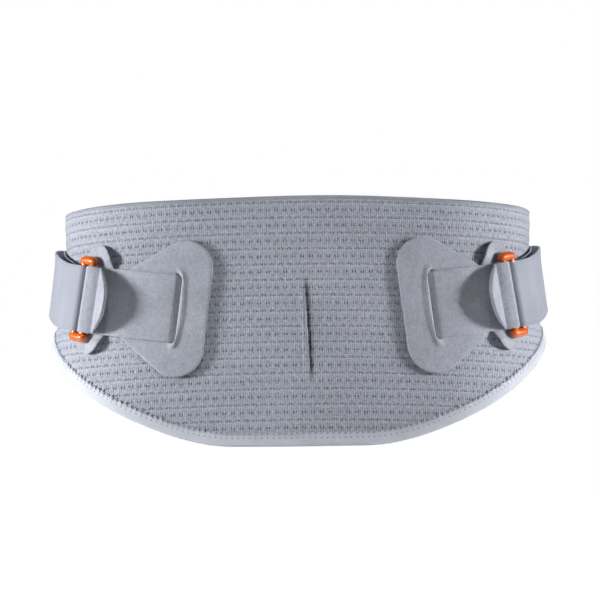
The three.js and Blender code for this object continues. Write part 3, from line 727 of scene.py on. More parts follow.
def knit_finish():
    """Open-work knit: dark eyelets in rows, with fine ribs and light courses between them, and painted shade that
    darkens the knit along the crease's groove beside the middle of the back.
    """
    f = Finish("knit_cloth", 0.86, **CLOTH_SHEEN)
    u, v = f.cloth()
    sway = f.noise(9, 1)
    u, v = u + (sway - 0.5) * 0.5, v + (sway - 0.5) * 0.4
    marks, roofs = eyelets(u, v, WIRES)
    upright, courses, raised = ribs(u, v, WIRES)
    wear, drawn, lint = f.noise(45, 3), f.noise(6, 1), f.noise(0.7)
    uprights, levels = f.strokes(u, v, 0.8, 3.2), f.strokes(u, v, 3.4, 0.7)
    # painted shade: crease marks the groove of the short upright crease, where the knit's colour is darkened to stand
    # in for the shade that falls in it
    crease = bell(WIRES, u + v * CREASE_LEAN - CREASE_STATION - 0.4, 1.3) * f.span(v, CREASE_FROM, CREASE_TO)
    share = 0.64 + upright * uprights * 0.22 + courses * 0.03 + raised * 0.09
    share += (wear - 0.5) * 0.15 + (lint - 0.5) * 0.35 + (uprights - 0.5) * 0.75 + (levels - 0.5) * 0.55
    # crease * 0.5 is the painted shade in the crease's groove
    share -= marks * (0.2 + drawn * 0.55) + roofs * (0.2 + drawn * 0.5) + crease * 0.5
    f.between(share, (52, 56, 68), (206, 211, 224))
    ridges = upright * 0.2 + courses * 0.12 + raised * 0.3 + uprights + levels
    f.bump(ridges - marks * 0.8 - roofs * 0.6, 0.4, 0.9)
    f.rough(wear, 0.8, 0.95)
    return f.material


def lining_finish():
    """Brushed lining: small soft loops in staggered rows, between sewn channels."""
    f = Finish("brushed_lining", 0.95, **CLOTH_SHEEN)
    u, v = f.cloth()
    weave, pile = wave(u, 1.6) * wave(v, 1.9), f.noise(0.8, 3)
    channels = bell(WIRES, (WIRES.fract(v / 14) - 0.5) * 14, 0.8)
    share = 0.55 + weave * 0.22 + (pile - 0.5) * 0.7 + (f.noise(30) - 0.5) * 0.3 - channels * 0.3
    f.between(share, (104, 108, 119), (192, 196, 208))
    f.bump(weave * 0.6 + pile - channels, 0.4, 0.9)
    return f.material


STITCH_STEP = 4.1  # from one needle hole of the tape to the next
HOLE_LEVEL = 5.6  # from the tape's fold to its needle holes


def tape_finish():
    """Smooth folded tape: very fine ribs across it and a row of needle holes."""
    f = Finish("edge_tape", 0.62, **CLOTH_SHEEN)
    u, v = f.cloth()
    x = (WIRES.fract(u / STITCH_STEP) - 0.5) * STITCH_STEP
    hole = bell(WIRES, x, 0.55) * bell(WIRES, v - HOLE_LEVEL, 0.42)
    rib, lines, wear = wave(u, 0.82), wave(v, 1.1), f.noise(20)
    share = 0.84 + rib * 0.04 + lines * 0.03 + (wear - 0.5) * 0.2 - hole * 0.65
    f.between(share, (84, 88, 99), (221, 225, 236))
    f.bump(rib * 0.25 + lines * 0.2 - hole, 0.25, 0.6)
    f.rough(wear, 0.52, 0.72)
    return f.material


def hem_finish():
    """The knit turned over at the top: close ribs and no eyelets."""
    f = Finish("turned_hem", 0.88, **CLOTH_SHEEN)
    rib, lint = wave(f.cloth()[0], 1.23), f.noise(0.7)
    share = 0.5 + rib * 0.18 + (f.noise(22) - 0.5) * 0.3 + (lint - 0.5) * 0.4
    f.between(share, (108, 112, 122), (194, 198, 209))
    f.bump(rib * 0.5 + lint * 0.5, 0.3, 0.7)
    return f.material


def elastic_finish():
    """Woven elastic: fine cords along it, a close weave across it and a firm edge."""
    f = Finish("woven_elastic", 0.66, **CLOTH_SHEEN)
    u, v = f.cloth()
    cords, weave, wear, lint = wave(v, 0.95), wave(u, 0.7), f.noise(28), f.noise(0.6)
    edge = bell(WIRES, STRAP_WIDTH / 2 - WIRES.abs(v) - 2.1, 0.45)
    share = 0.62 + cords * 0.03 + weave * 0.03 + (wear - 0.5) * 0.28 + (lint - 0.5) * 0.2 - edge * 0.1
    f.between(share, (98, 102, 113), (182, 186, 199))
    f.bump(cords * 0.25 + weave * 0.25 + lint * 0.3 - edge * 0.4, 0.15, 0.5)
    f.rough(wear, 0.55, 0.75)
    return f.material


def velour_finish():
    """Brushed pile that hooks hold on to: short fuzz with darker and lighter strokes."""
    f = Finish("velour", 0.95, Sheen_Weight=0.35, Sheen_Roughness=0.45, Specular_IOR_Level=0.15)
    fuzz, strokes = f.noise(0.9, 3), f.noise(3.2)
    share = 0.5 + (fuzz - 0.5) * 0.7 + (strokes - 0.5) * 0.35 + (f.noise(18) - 0.5) * 0.3
    f.between(share, (110, 114, 126), (212, 216, 227))
    f.bump(fuzz + strokes * 0.5, 0.3, 0.8)
    return f.material


def hook_finish():
    """Moulded hook tape: rows of tiny stiff hooks."""
    f = Finish("hook_tape", 0.5, Specular_IOR_Level=0.4)
    dots = f.cells(1.3)
    f.between(1.1 - dots * 1.6, (84, 87, 95), (160, 163, 172))
    f.bump(0.8 - dots, 0.5, 0.9)
    return f.material


def cover_finish():
    """Smooth stretch cover of the pressure pads: fine knit over foam."""
    f = Finish("pad_cover", 0.85, **CLOTH_SHEEN)
    fine, pores = f.noise(0.9, 3), f.cells(2.2)
    share = 0.55 + (fine - 0.5) * 0.5 + (f.noise(25) - 0.5) * 0.4 - pores * 0.15
    f.between(share, (72, 74, 81), (134, 137, 146))
    f.bump(fine + pores * 0.5, 0.25, 0.7)
    return f.material


def ring_finish():
    """Glossy moulded plastic with faint flow lines."""
    f = Finish("moulded_ring", 0.3, Coat_Weight=0.5, Coat_Roughness=0.1, Specular_IOR_Level=0.6)
    flow = f.noise(6)
    f.between(0.5 + (flow - 0.5) * 0.6, (208, 84, 4), (242, 122, 24))
    f.rough(flow, 0.22, 0.4)
    f.bump(f.noise(1.2), 0.05, 0.4)
    return f.material


def thread_finish():
    """Twisted sewing thread."""
    f = Finish("thread", 0.6, **CLOTH_SHEEN)
    twist = f.noise(0.6)
    f.between(0.5 + (twist - 0.5) * 0.8 + (f.noise(8, 1) - 0.5) * 0.3, (180, 183, 193), (228, 231, 240))
    f.bump(twist, 0.15, 0.6)
    return f.material


KNIT_CLOTH, BRUSHED, TAPE, HEM = knit_finish(), lining_finish(), tape_finish(), hem_finish()
ELASTIC, VELOUR, HOOKS, COVER = elastic_finish(), velour_finish(), hook_finish(), cover_finish()
ORANGE, THREAD = ring_finish(), thread_finish()


# ---- Making a piece and fitting it to the frame ----


def add(name, shape, finish, slot, side, body, *nodes):
    """A piece from a shape, which is its points in millimetres, its faces and, for cloth, a map of
    millimetres along and across it. The left side's is mirrored. It rides on a body in place of the CAD
    nodes. On the body "belt" it is fixed to the back, or with a side stretched from the back to that wing."""
    points, faces, *cloth = shape
    if side == "left":
        points, faces = points * [-1, 1, 1], [face[::-1] for face in faces]
    mesh = bpy.data.meshes.new(name)
    mesh.from_pydata((points / 1000).tolist(), [], faces)
    if cloth:
        corners = np.empty(len(mesh.loops), np.int32)
        mesh.loops.foreach_get("vertex_index", corners)
        layer = mesh.uv_layers.new(name="cloth")
        layer.data.foreach_set("uv", cloth[0].astype(np.float32)[corners].ravel())
    mesh.polygons.foreach_set("use_smooth", np.ones(len(mesh.polygons), bool))
    mesh.set_sharp_from_angle(angle=SHARP)
    mesh.materials.append(finish)
    mesh.update()
    piece = bpy.data.objects.new(name, mesh)
    bpy.context.scene.collection.objects.link(piece)
    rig.slot(piece, slot)
    if body == "belt" and side:
        x = 0.18 * SIDES[side]
        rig.blend(piece, "back", f"{side}_wing", start=(x, -0.035, 0), end=(x, 0.045, 0))
    else:
        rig.ride(piece, "back" if body == "belt" else body)
    if nodes:
        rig.replaces(piece, *nodes)
    return piece


def worn(side):
    """The place of a point of the belt's own cloth: the form with the cloth's waves, and on the right wing
    the lift where it laps over the left one."""
    lap = OUTER_WING_LIFT if side == "right" else 0.0

    def place(station, z, offset):
        up = lap * smooth(LIFT_STARTS, LIFT_ENDS, station)
        return on_form(station, z, offset + up + ripple(station, z))

    return place


# ---- The knit and the lining ----

EDGE = 0.9  # from the folded edge to the cloth inside it
KNIT_STEP = PITCH / 6
PARTS = {"": "back", "right": "right_wing", "left": "left_wing"}  # the belt's three lengths, by side


def knit_relief(station, z):
    """Height of the knit's outer face: eyelets sink in, courses stand up, and the crease is a groove."""
    v = row_level(station, z)
    marks, roofs = eyelets(station, v, ARRAYS)
    upright, courses, raised = ribs(station, v, ARRAYS)
    within = smooth(CREASE_FROM - 8, CREASE_FROM + 6, z) * (1 - smooth(CREASE_TO - 6, CREASE_TO + 8, z))
    beside = station - crease_station(z)
    groove = 1.7 * bell(ARRAYS, beside - 0.4, 1.35) - 0.9 * bell(ARRAYS, beside + 3.1, 1.8)
    puff = 0.12 * np.cos(2 * math.pi * v / ROW)
    return -0.22 * marks - 0.15 * roofs + 0.1 * raised + puff - within * groove


def panel(stations, rows, place, outer, inner, step=1):
    """A layer of cloth between the two edges. outer and inner give its two faces' offsets at a station and
    level. Returns its shape, and its flat size and area in metres."""
    s = stations[:, None]
    share = np.linspace(0, 1, rows + 1)[None, :]
    z = (lower_edge(s) + EDGE) * (1 - share) + (upper_edge(s) - EDGE) * share
    s = np.broadcast_to(s, z.shape)
    s_in, z_in = s[::step, ::step], z[::step, ::step]
    shape = shell(place(s, z, outer(s, z)), place(s_in, z_in, inner(s_in, z_in)), step)
    cloth = [np.stack([a, row_level(a, b)], -1).reshape(-1, 2) for a, b in ((s, z), (s_in, z_in))]
    heights = z[:, -1] - z[:, 0]
    area = float(np.sum((heights[1:] + heights[:-1]) / 2 * np.diff(stations))) / 1e6
    flat = ((stations[-1] - stations[0]) / 1000, float(heights.max()) / 1000)
    return (*shape, np.concatenate(cloth)), dict(flat=flat, area=area)


def level(value):
    return lambda s, z: np.full(np.shape(s), float(value))


def belt_layers():
    """The outer knit and the brushed lining of the back and of both wings. A wing's stations crowd
    together in its round corners."""
    end = WING_END - EDGE
    corner = end - WING_CORNER * (1 - np.sin(np.arange(1, 17) / 16 * math.pi / 2))
    wing = np.concatenate([np.linspace(SPLIT, end - WING_CORNER, 305), corner])
    runs = np.linspace(-SPLIT, SPLIT, 401), 160, np.linspace(-SPLIT, SPLIT, 121), 48
    wing_runs = wing, 112, np.concatenate([wing[:305:4], wing[306::2]]), 36
    lining = level(-KNIT - LAYER_GAP), level(LINING_FACE)
    for side, part in PARTS.items():
        knit_run, knit_rows, lining_run, lining_rows = wing_runs if side else runs
        layers = (
            (knit_run, knit_rows, knit_relief, level(-KNIT), 8, "knit", KNIT_CLOTH, "knit", "panel"),
            (lining_run, lining_rows, *lining, 1, "brushed_lining", BRUSHED, "lining", "lining"),
        )
        for stations, rows, outer, inner, step, name, finish, slot, node in layers:
            shape, cut = panel(stations, rows, worn(side), outer, inner, step)
            piece = add(f"{part}_{name}", shape, finish, slot, side, "belt", f"{part}_{node}")
            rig.sheet(piece, held="stretched", **cut)


belt_layers()


# ---- The edges ----


TAPE_WIDTH, ZIGZAG_TOP = 8.6, 10.4  # the tape's width and its thread's, from the fold


def folded_section(width, outside, inside, thickness):
    """A tape folded round an edge, as [inset from the fold, offset] points of its outer skin and its
    inner skin, and the distance of each from the fold, negative on the inside."""
    middle, reach = (outside + inside) / 2, (outside - inside) / 2
    a = np.linspace(90, 270, 9) * DEG
    turn = min(1.9, width * 0.7)
    bend = np.stack([turn - 0.8 + 1.5 * np.cos(a), middle + reach * np.sin(a)], -1)
    run = np.linspace(width, turn, 9)
    pressed = 0.8 * outside * smooth(width - 1.4, width, run)
    upper = np.stack([run, outside - pressed], -1)
    lower = np.stack([np.linspace(turn, width, 7), np.full(7, inside)], -1)
    skin = np.vstack([upper, bend, lower])
    thick = thickness * np.concatenate([[0.35, 0.9], np.ones(len(skin) - 4), [0.9, 0.35]])
    return skin, skin + left_of(skin) * thick[:, None], width - run_of(skin)


def edge_tape(path, place, section, scallop, holes):
    """A folded tape along an edge. The path is [station, level] points, with the cloth on its left. The
    tape's own edge waves in and out, and its face sinks in at each needle hole."""
    skin, core, far = folded_section(*section)
    width, inward = section[0], left_of(path)
    along = run_of(path) + path[0, 0]
    wave = np.cos(2 * math.pi * along / STITCH_STEP)[:, None]
    grids = []
    for depth, offset in (skin.T, core.T):
        near = bell(ARRAYS, depth - HOLE_LEVEL, 0.8) * (0.5 - 0.5 * wave)
        sunk = offset - holes * near * np.sign(offset + KNIT)
        inset = depth * (1 + scallop * wave * smooth(width - 1.5, width, depth))
        grids.append(place(path[:, :1] + inward[:, :1] * inset, path[:, 1:] + inward[:, 1:] * inset, sunk))
    cloth = np.stack(np.broadcast_arrays(along[:, None], far[::-1]), -1).reshape(-1, 2)
    return *shell(grids[0][:, ::-1], grids[1][:, ::-1]), np.concatenate([cloth, cloth])


def zigzag(path, place, low, high, offset):
    """Thread that crosses the tape's edge to and fro, down at each needle hole."""
    inward = left_of(path)
    phase = np.abs(2 * (((run_of(path) + path[0, 0]) / STITCH_STEP + 0.5) % 1) - 1)
    inset = low + (high - low) * (1 - phase)
    rise = offset + 0.1 - 0.35 * phase**2 + 0.15 * (1 - phase)
    s, z = path[:, 0] + inward[:, 0] * inset, path[:, 1] + inward[:, 1] * inset
    line = place(s, z, rise)
    return tube(line, unit(place(s, z, rise + 1) - line), 0.42, 5)


def wing_edge():
    """A wing's bottom edge from the split, round the lower corner, up its end and round the upper one."""
    flat_run = np.linspace(SPLIT, WING_END - WING_CORNER, 300)
    corner = WING_END - WING_CORNER * (1 - np.sin(np.linspace(0, math.pi / 2, 25)[1:]))
    bottom = np.stack([flat_run, lower_edge(flat_run)], -1)
    lower = np.stack([corner, lower_edge(corner)], -1)
    upper = np.stack([corner, upper_edge(corner)], -1)[::-1]
    return spaced(np.vstack([bottom, lower, upper]), round((WING_END - SPLIT + 100) / KNIT_STEP))


def belt_edges():
    """The tape along the bottom and round the wings' ends, its thread, and the turned hem along the top."""
    back = np.linspace(-SPLIT, SPLIT, 401)
    for side, part in PARTS.items():
        place = worn(side)
        run = np.linspace(SPLIT, WING_END - WING_CORNER, 200) if side else back
        path = wing_edge() if side else np.stack([back, bottom_edge(back)], -1)
        tape = edge_tape(path, place, (TAPE_WIDTH, 0.75, LINING_FACE - 0.75, 0.5), 0.06, 0.25)
        add(f"{part}_edge_tape", tape, TAPE, "binding", side, "belt", f"{part}_bottom_binding")
        thread = zigzag(path, place, HOLE_LEVEL, ZIGZAG_TOP, 0.5)
        add(f"{part}_tape_thread", thread, THREAD, "binding", side, "belt")
        top = np.stack([run, upper_edge(run)], -1)[::-1]
        hem = edge_tape(top, place, (1.9, 0.32, LINING_FACE - 0.5, 0.3), 0, 0)
        add(f"{part}_turned_hem", hem, HEM, "hem", side, "belt", f"{part}_top_binding")


belt_edges()


def crease_welt():
    """The sewn welt beside the crease: a low rounded cord that dies away at both ends."""
    z = np.linspace(CREASE_FROM + 2, CREASE_TO - 1, 60)
    ends = np.sqrt(np.clip(1 - np.abs(np.linspace(-1, 1, 60)) ** 6, 0.02, 1))
    s = crease_station(z) - 1.9
    line = on_form(s, z, ripple(s, z) + 0.1)
    lift = unit(on_form(s, z, 5.0) - on_form(s, z, 0.0))
    cloth = np.repeat(np.stack([z, s], -1), 12, 0)
    shape = *tube(line, lift, 1.15 * ends, 12, flat=0.75), cloth
    add("crease_welt", shape, HEM, "knit", "", "back", "centre_seam")


crease_welt()


# ---- The rings ----


def ring_solid():
    """A moulded oblong ring: two long bars, and two thick short ends that stand out past the bars."""
    a = np.linspace(0, 90, 9) * DEG
    arc = np.stack([np.cos(a), np.sin(a)], -1) * RING_CORNER
    arc += [BAR_SPREAD - RING_CORNER, RING_HALF_HEIGHT - RING_CORNER]
    corners = (1, 1), (-1, 1), (-1, -1), (1, -1)
    t, w = spaced(np.vstack([arc[:: x * y] * [x, y] for x, y in corners]), 220, closed=True).T
    at_end = smooth(24.9, 27.0, np.abs(w))
    line = in_ring(t * (1 + 0.6 * at_end), 0, w + 0.6 * at_end * np.sign(w))
    middle = bell(ARRAYS, t, 2.6) * at_end
    radius = BAR_RADIUS - 0.1 + (0.85 + 0.15 * middle) * at_end
    return tube(line, np.broadcast_to(RING_N, line.shape), radius, 20, closed=True)


def loop(centre, start, end, count):
    """Points half-way round a ring's bar, as [t, offset]."""
    a = np.linspace(start, end, count) * DEG
    return np.stack([centre + LOOP_RADIUS * np.cos(a), RING_OFFSET + LOOP_RADIUS * np.sin(a)], -1)


WING_FACE = 1.5  # offset of the middle of a strap that lies on a wing
ELASTIC_END = 366.0  # station where the elastic ends, inside its hook tab


def elastic_path():
    """From the side seam to the ring, round its outer bar, and back outside to the wing's face."""
    seam = SEAM - RING_STATION
    turn = BAR_SPREAD + 0.6
    inner = [[seam - 3, 1.6], [seam - 16, 1.6], [seam - 34, 2.8], [22, 3.6]]
    inner.append([turn, RING_OFFSET - LOOP_RADIUS])
    outer = [[turn, RING_OFFSET + LOOP_RADIUS], [20, 10], [50, 8.6], [seam, 7.6], [seam + 22, 6.2]]
    outer += [[seam + 46, 3], [seam + 66, 1.6]]
    outer += [[ELASTIC_END - 22 - RING_STATION, WING_FACE], [ELASTIC_END - RING_STATION, WING_FACE]]
    return np.vstack([through(inner, 60), loop(BAR_SPREAD, 266, 94, 16), through(outer, 150)])


GRIP_ROOT, GRIP_LENGTH, GRIP_LIFT = (-13.0, 5.9), 22.5, 43 * DEG


def pad_strap_path(slot_station):
    """Out of the pad's slot, under the ring's inner bar, round it and back, to a free end that stands up.
    Returns the path and the half width along it."""
    slot = slot_station - RING_STATION
    turn = -BAR_SPREAD - 0.6
    under = [[slot - 1.6, 1.9], [slot - 0.2, 3.2], [slot + 2.6, 4.5], [slot + 16, 5.1], [-34, 5], [-14, 3.9]]
    under += [[turn, RING_OFFSET - LOOP_RADIUS]]
    over = [[turn, RING_OFFSET + LOOP_RADIUS], [-9.4, 8.9], GRIP_ROOT]
    share, half = round_end(STRAP_WIDTH / 2)
    grip = GRIP_ROOT + GRIP_LENGTH * share[:, None] * np.array([-math.cos(GRIP_LIFT), math.sin(GRIP_LIFT)])
    run = np.vstack([through(under, 70), loop(-BAR_SPREAD, -86, 86, 16), through(over, 14)])
    return np.vstack([run, grip]), np.concatenate([np.full(len(run), STRAP_WIDTH / 2), half])


PATCH_RADIUS, PATCH_REACH, PATCH_MIDDLE = 15.5, 24.0, -5.0


def patch_outline(count):
    """A long patch with half-round ends, in steps ahead of the ring and up it."""
    a = np.linspace(0, 180, 40) * DEG
    end = np.stack([PATCH_RADIUS * np.cos(a), PATCH_REACH + PATCH_RADIUS * np.sin(a)], -1)
    return spaced(np.vstack([end, -end]) + [PATCH_MIDDLE, 0], count, closed=True)


def patch_place(t, w, height):
    """The patch under the ring: flat on the knit, with its two ends curling up on the spine's side."""
    curl = 4.6 * smooth(2, 20, -t) * smooth(23, 31, np.abs(w))
    return on_strap(RING_STATION + t, w, 1.5 + curl + height)


PAD_SLOPE, PAD_APEX = 34 * DEG, -74.5  # the sloping sides and the point where they would meet
PAD_CORNERS = (  # place from the slot, radius, side, and the directions where the round part starts and ends
    (4.2, 20.0, 1, 0, 124),
    (-33.5, 8.0, 1, 124, 180),
    (-33.5, 8.0, -1, 180, 236),
    (3.7, 20.5, -1, 236, 360),
)


def pad_outline(inset):
    """The pad's outline round its slot: two slopes from a rounded tip at the ring to two round corners."""
    points = []
    for place, radius, side, start, end in PAD_CORNERS:
        rise = side * ((place - PAD_APEX) * math.sin(PAD_SLOPE) - radius) / math.cos(PAD_SLOPE)
        a = np.linspace(start, end, 24) * DEG
        reach = radius - inset
        points.append(np.stack([-(place + reach * np.cos(a)), rise + reach * np.sin(a)], -1))
    return np.vstack(points)[::-1]


def from_tip(outline, count):
    """A closed outline in equal steps that start where it crosses level 0 on the ring's side."""
    line = spaced(outline, 4 * count, closed=True)
    start = int(np.argmin(np.abs(line[:, 1]) + 1000 * (line[:, 0] < 0)))
    return np.roll(line, -start, 0)[::4]


SLOT_HALF_WIDTH, SLOT_REACH = 3.0, 21.8


def slot_outline(count):
    """The slot: straight sides and round ends."""
    a = np.linspace(-90, 90, 16) * DEG
    right = np.stack([np.full(2, SLOT_HALF_WIDTH), [-SLOT_REACH, SLOT_REACH]], -1)
    top = np.stack([SLOT_HALF_WIDTH * np.cos(a), SLOT_REACH + SLOT_HALF_WIDTH * np.sin(a)], -1)[8:]
    return from_tip(np.vstack([right, top, -right, -top]), count)


def washer(inner, outer, face, thickness, rings=14, rim=1.9):
    """A soft plate with a hole: rings from the hole's outline to its own, rounded at both edges, with a lip
    that stands up along the hole's side towards the spine."""
    soft = rim / np.linalg.norm(outer - inner, axis=1)[:, None]
    crowded, even = RIM_LINES[:, None, None], np.linspace(0, 1, rings)[:, None, None]
    share = np.concatenate([soft * crowded, soft + (1 - 2 * soft) * even, 1 - soft * crowded[::-1]])
    low = rounded(RIM_LINES)
    height = np.concatenate([low, np.ones(rings), low[::-1]])[:, None] * thickness / 2
    flat = inner * (1 - share) + outer * share
    from_hole = np.linalg.norm(flat - inner, axis=2)
    lip = 1.5 * bell(ARRAYS, from_hole - 1.9, 2.2) * smooth(2, -2, inner[:, 0])
    top = face(flat[..., 0], flat[..., 1], height + lip)
    under = face(flat[..., 0], flat[..., 1], np.broadcast_to(-height, lip.shape))
    a = np.arange(lip.size).reshape(lip.shape)
    b = a + a.size
    faces = round_quads(a[1:], a[:-1]) + round_quads(b[:-1], b[1:])
    faces += round_quads(b[-1], a[-1]) + round_quads(a[0], b[0])
    return np.concatenate([top.reshape(-1, 3), under.reshape(-1, 3)]), faces


def ring_area(side):
    """The ring with all that is round it: both straps, the patch under it and the grab pad."""
    pad = f"{side}_pad"
    add(f"{side}_moulded_ring", ring_solid(), ORANGE, "ring", side, f"{side}_ring", f"{side}_ring")

    def on_side(t, offset, across):
        """The elastic climbs a little more round the side before it lies down on the wing."""
        s = RING_STATION + t
        return near_ring(t, offset, across + 4.5 * smooth(165, 240, s) * (1 - smooth(255, 345, s)))

    def on_pad(a, w, offset):
        return on_strap(SLOT_STATION[side] + a, w, offset)

    band = ribbon(elastic_path(), on_side, STRAP_WIDTH / 2, STRAP)
    nodes = f"{side}_elastic_strap", f"{side}_strap_front"
    add(f"{side}_elastic_band", band, ELASTIC, "elastic", side, "belt", *nodes)
    path, half = pad_strap_path(SLOT_STATION[side])
    thick = STRAP + 0.7 * smooth(len(path) - 24, len(path) - 16, np.arange(len(path)))
    strap = ribbon(path, near_ring, half, thick)
    add(f"{side}_velour_strap", strap, VELOUR, "velour", side, pad, f"{side}_pad_strap")
    patch = plate(patch_outline(96), [PATCH_MIDDLE, 0], 12, patch_place, 2.0)
    add(f"{side}_velour_patch", patch, VELOUR, "velour", side, "back", f"{side}_guard_patch")
    outline = from_tip(pad_outline(0), 200)
    body = washer(slot_outline(200), outline, lambda a, w, h: on_pad(a, w, 2.8 + h), 2.0)
    add(f"{side}_velour_pad", body, VELOUR, "velour", side, pad, f"{side}_grab_pad")
    outline = spaced(pad_outline(5), 120, closed=True)
    tape = plate(outline, [10, 0], 12, lambda a, w, h: on_pad(a, w, 1.15 + h), 0.7)
    add(f"{side}_pad_hook_tape", tape, HOOKS, "hook", side, pad, f"{side}_grab_pad_hook")


for each_side in SIDES:
    ring_area(each_side)


# ---- The pressure pads on the lining ----

HOOK_TAPE = 0.9
PAD_FACE = LINING_FACE - LAYER_GAP - HOOK_TAPE - LAYER_GAP
PAD_STATION, PAD_LEVEL = 44.0, -8.0
SWELL_CAP = 0.0025  # metres


def sacral_outline(inset, count):
    """A rounded shield: an oval squared off a little and narrower at the top."""
    a = np.arange(count) / count * 2 * math.pi
    c, s = np.cos(a), np.sin(a)
    wide = (32 - inset) * (1 - 0.16 * s) * np.sign(c) * np.abs(c) ** 0.8
    return np.stack([PAD_STATION + wide, PAD_LEVEL + (44 - inset) * np.sign(s) * np.abs(s) ** 0.8], -1)


def sacral_solid():
    """The pad's cover before it is filled: flat against the belt and crowned towards the wearer."""
    outline = sacral_outline(1.2, 96)
    middle = np.array([PAD_STATION, PAD_LEVEL])
    reach = np.linalg.norm(outline - middle, axis=1).max()

    def face(s, z, height):
        share = np.clip(np.hypot(s - PAD_STATION, z - PAD_LEVEL) / reach, 0, 1)
        crown = PAD_FACE - 3.9 - 4.2 * (1 - share**2)
        return on_form(s, z, np.where(height > 0, PAD_FACE - 0.3, crown))

    return plate(outline, middle, 16, face, 1.0, 2.4)


def depth_in_pad(points):
    """How far points lie in from the pad's flat face, in metres."""
    x, y, z = (points * 1000).T
    return (BACK_RADIUS - BACK_FLARE * z + PAD_FACE - np.hypot(x, y - BACK_CENTRE_Y)) / 1000


def places(mesh):
    """The mesh's points as rows of three numbers."""
    points = np.empty(len(mesh.vertices) * 3)
    mesh.vertices.foreach_get("co", points)
    return points.reshape(-1, 3)


def swell(solid):
    """Even out a closed cover and fill it with air by a cloth simulation. No point moves further than the
    cap, and the points of the flat face stay where they are."""
    scene = bpy.context.scene
    mesh = bpy.data.meshes.new("cover")
    mesh.from_pydata((solid[0] / 1000).tolist(), [], solid[1])
    obj = bpy.data.objects.new("swelling_cover", mesh)
    scene.collection.objects.link(obj)

    def shaped():
        graph = bpy.context.evaluated_depsgraph_get()
        return bpy.data.meshes.new_from_object(obj.evaluated_get(graph))

    remesh = obj.modifiers.new("even", "REMESH")
    remesh.mode, remesh.voxel_size = "VOXEL", 0.0026
    even_mesh = shaped()
    obj.modifiers.clear()
    obj.data = even_mesh
    points = places(even_mesh)
    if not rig.quick():
        cloth = obj.modifiers.new("air", "CLOTH")
        cloth.settings.use_pressure = True
        cloth.settings.uniform_pressure_force = 4.0
        cloth.settings.effector_weights.gravity = 0
        cloth.point_cache.frame_start, cloth.point_cache.frame_end = 1, 20
        for number in range(1, 21):
            scene.frame_set(number)
        moved = places(shaped()) - points
        far = np.linalg.norm(moved, axis=1, keepdims=True)
        free = smooth(0.0005, 0.004, depth_in_pad(points))[:, None]
        points = points + moved * np.minimum(1, SWELL_CAP / np.maximum(far, 1e-9)) * free
        scene.frame_set(1)
    polygons = [tuple(p.vertices) for p in even_mesh.polygons]
    bpy.data.objects.remove(obj)
    return points * 1000, polygons


def sacral_pads():
    """A pressure pad beside the spine on each side, with its welt and the hook tape that holds it."""
    body = swell(sacral_solid())
    line = spaced(sacral_outline(0.2, 240), 240, closed=True)
    seam = on_form(line[:, 0], line[:, 1], PAD_FACE - 1.6)
    lift = unit(on_form(line[:, 0], line[:, 1], 0.0) - seam)
    welt = *tube(seam, lift, 0.9, 8, closed=True), np.zeros((240 * 8, 2))

    def on_lining(s, z, height):
        return on_form(s, z, LINING_FACE - LAYER_GAP - HOOK_TAPE / 2 + height)

    tape = plate(sacral_outline(9, 80), [PAD_STATION, PAD_LEVEL], 8, on_lining, HOOK_TAPE)
    for side in SIDES:
        pad = add(f"{side}_pressure_pad", body, COVER, "pad_cover", side, "back", f"{side}_sacral_pad")
        finer = pad.modifiers.new("rounder", "SUBSURF")
        finer.levels = finer.render_levels = 1
        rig.padded(pad, fill=0.7)
        add(f"{side}_pad_welt", welt, HEM, "pad_cover", side, "back")
        name, node = f"{side}_pressure_pad_hook_tape", f"{side}_sacral_pad_hook"
        add(name, tape, HOOKS, "hook", side, "back", node)


sacral_pads()


# ---- The strap ends and the closure ----


TAB_START, TAB_ROUND, TAB_LENGTH = 350.0, 376.0, 22.0  # its start, where its end grows round, its length
LOOP_START, LOOP_END, LOOP_FOOT = WING_END - 56, WING_END - 12, 8.0
LOOP_HALF_WIDTH, LOOP_RISE = 21.0, 11.7


def tab_path():
    """The hook tab on the elastic's end: over its edge, then flat on the wing to a round end."""
    over = [[TAB_START, 3.3], [ELASTIC_END + 1, 3.3], [TAB_ROUND - 2, 1.7], [TAB_ROUND, WING_FACE]]
    share, half = round_end(STRAP_WIDTH / 2 - 1)
    flat = through(over, 40)
    end = np.stack([TAB_ROUND + TAB_LENGTH * share, np.full(len(share), WING_FACE)], -1)
    return np.vstack([flat, end]), np.concatenate([np.full(len(flat), STRAP_WIDTH / 2 - 1), half])


def pull_loop_path():
    """A loop's side: a foot, an arch that stands up like a flattened half wave, and a second foot."""
    share = np.linspace(0, 1, 61)
    low, high = LOOP_START + LOOP_FOOT, LOOP_END - LOOP_FOOT
    arch = np.stack([low + (high - low) * share, 1.3 + LOOP_RISE * np.sin(math.pi * share) ** 0.7], -1)
    feet = np.array([[LOOP_START, 1.3], [LOOP_START + 4, 1.3], [LOOP_END - 4, 1.3], [LOOP_END, 1.3]])
    return np.vstack([feet[:2], arch, feet[2:]])


def box(low_s, high_s, low_z, high_z, step=2.6):
    """The four sides of a rectangle in even steps, as [station, level] runs."""
    corners = np.array([[low_s, low_z], [high_s, low_z], [high_s, high_z], [low_s, high_z], [low_s, low_z]])
    lengths = np.linalg.norm(np.diff(corners, axis=0), axis=1)
    return [spaced(corners[i : i + 2], max(2, round(lengths[i] / step))) for i in range(4)]


def sew(name, place, runs, offset, slot, side):
    """Rows of stitches on a wing, as one piece."""
    rows = [stitch_row(place, run, offset) for run in runs]
    add(name, joined(rows), THREAD, slot, side, f"{side}_wing")


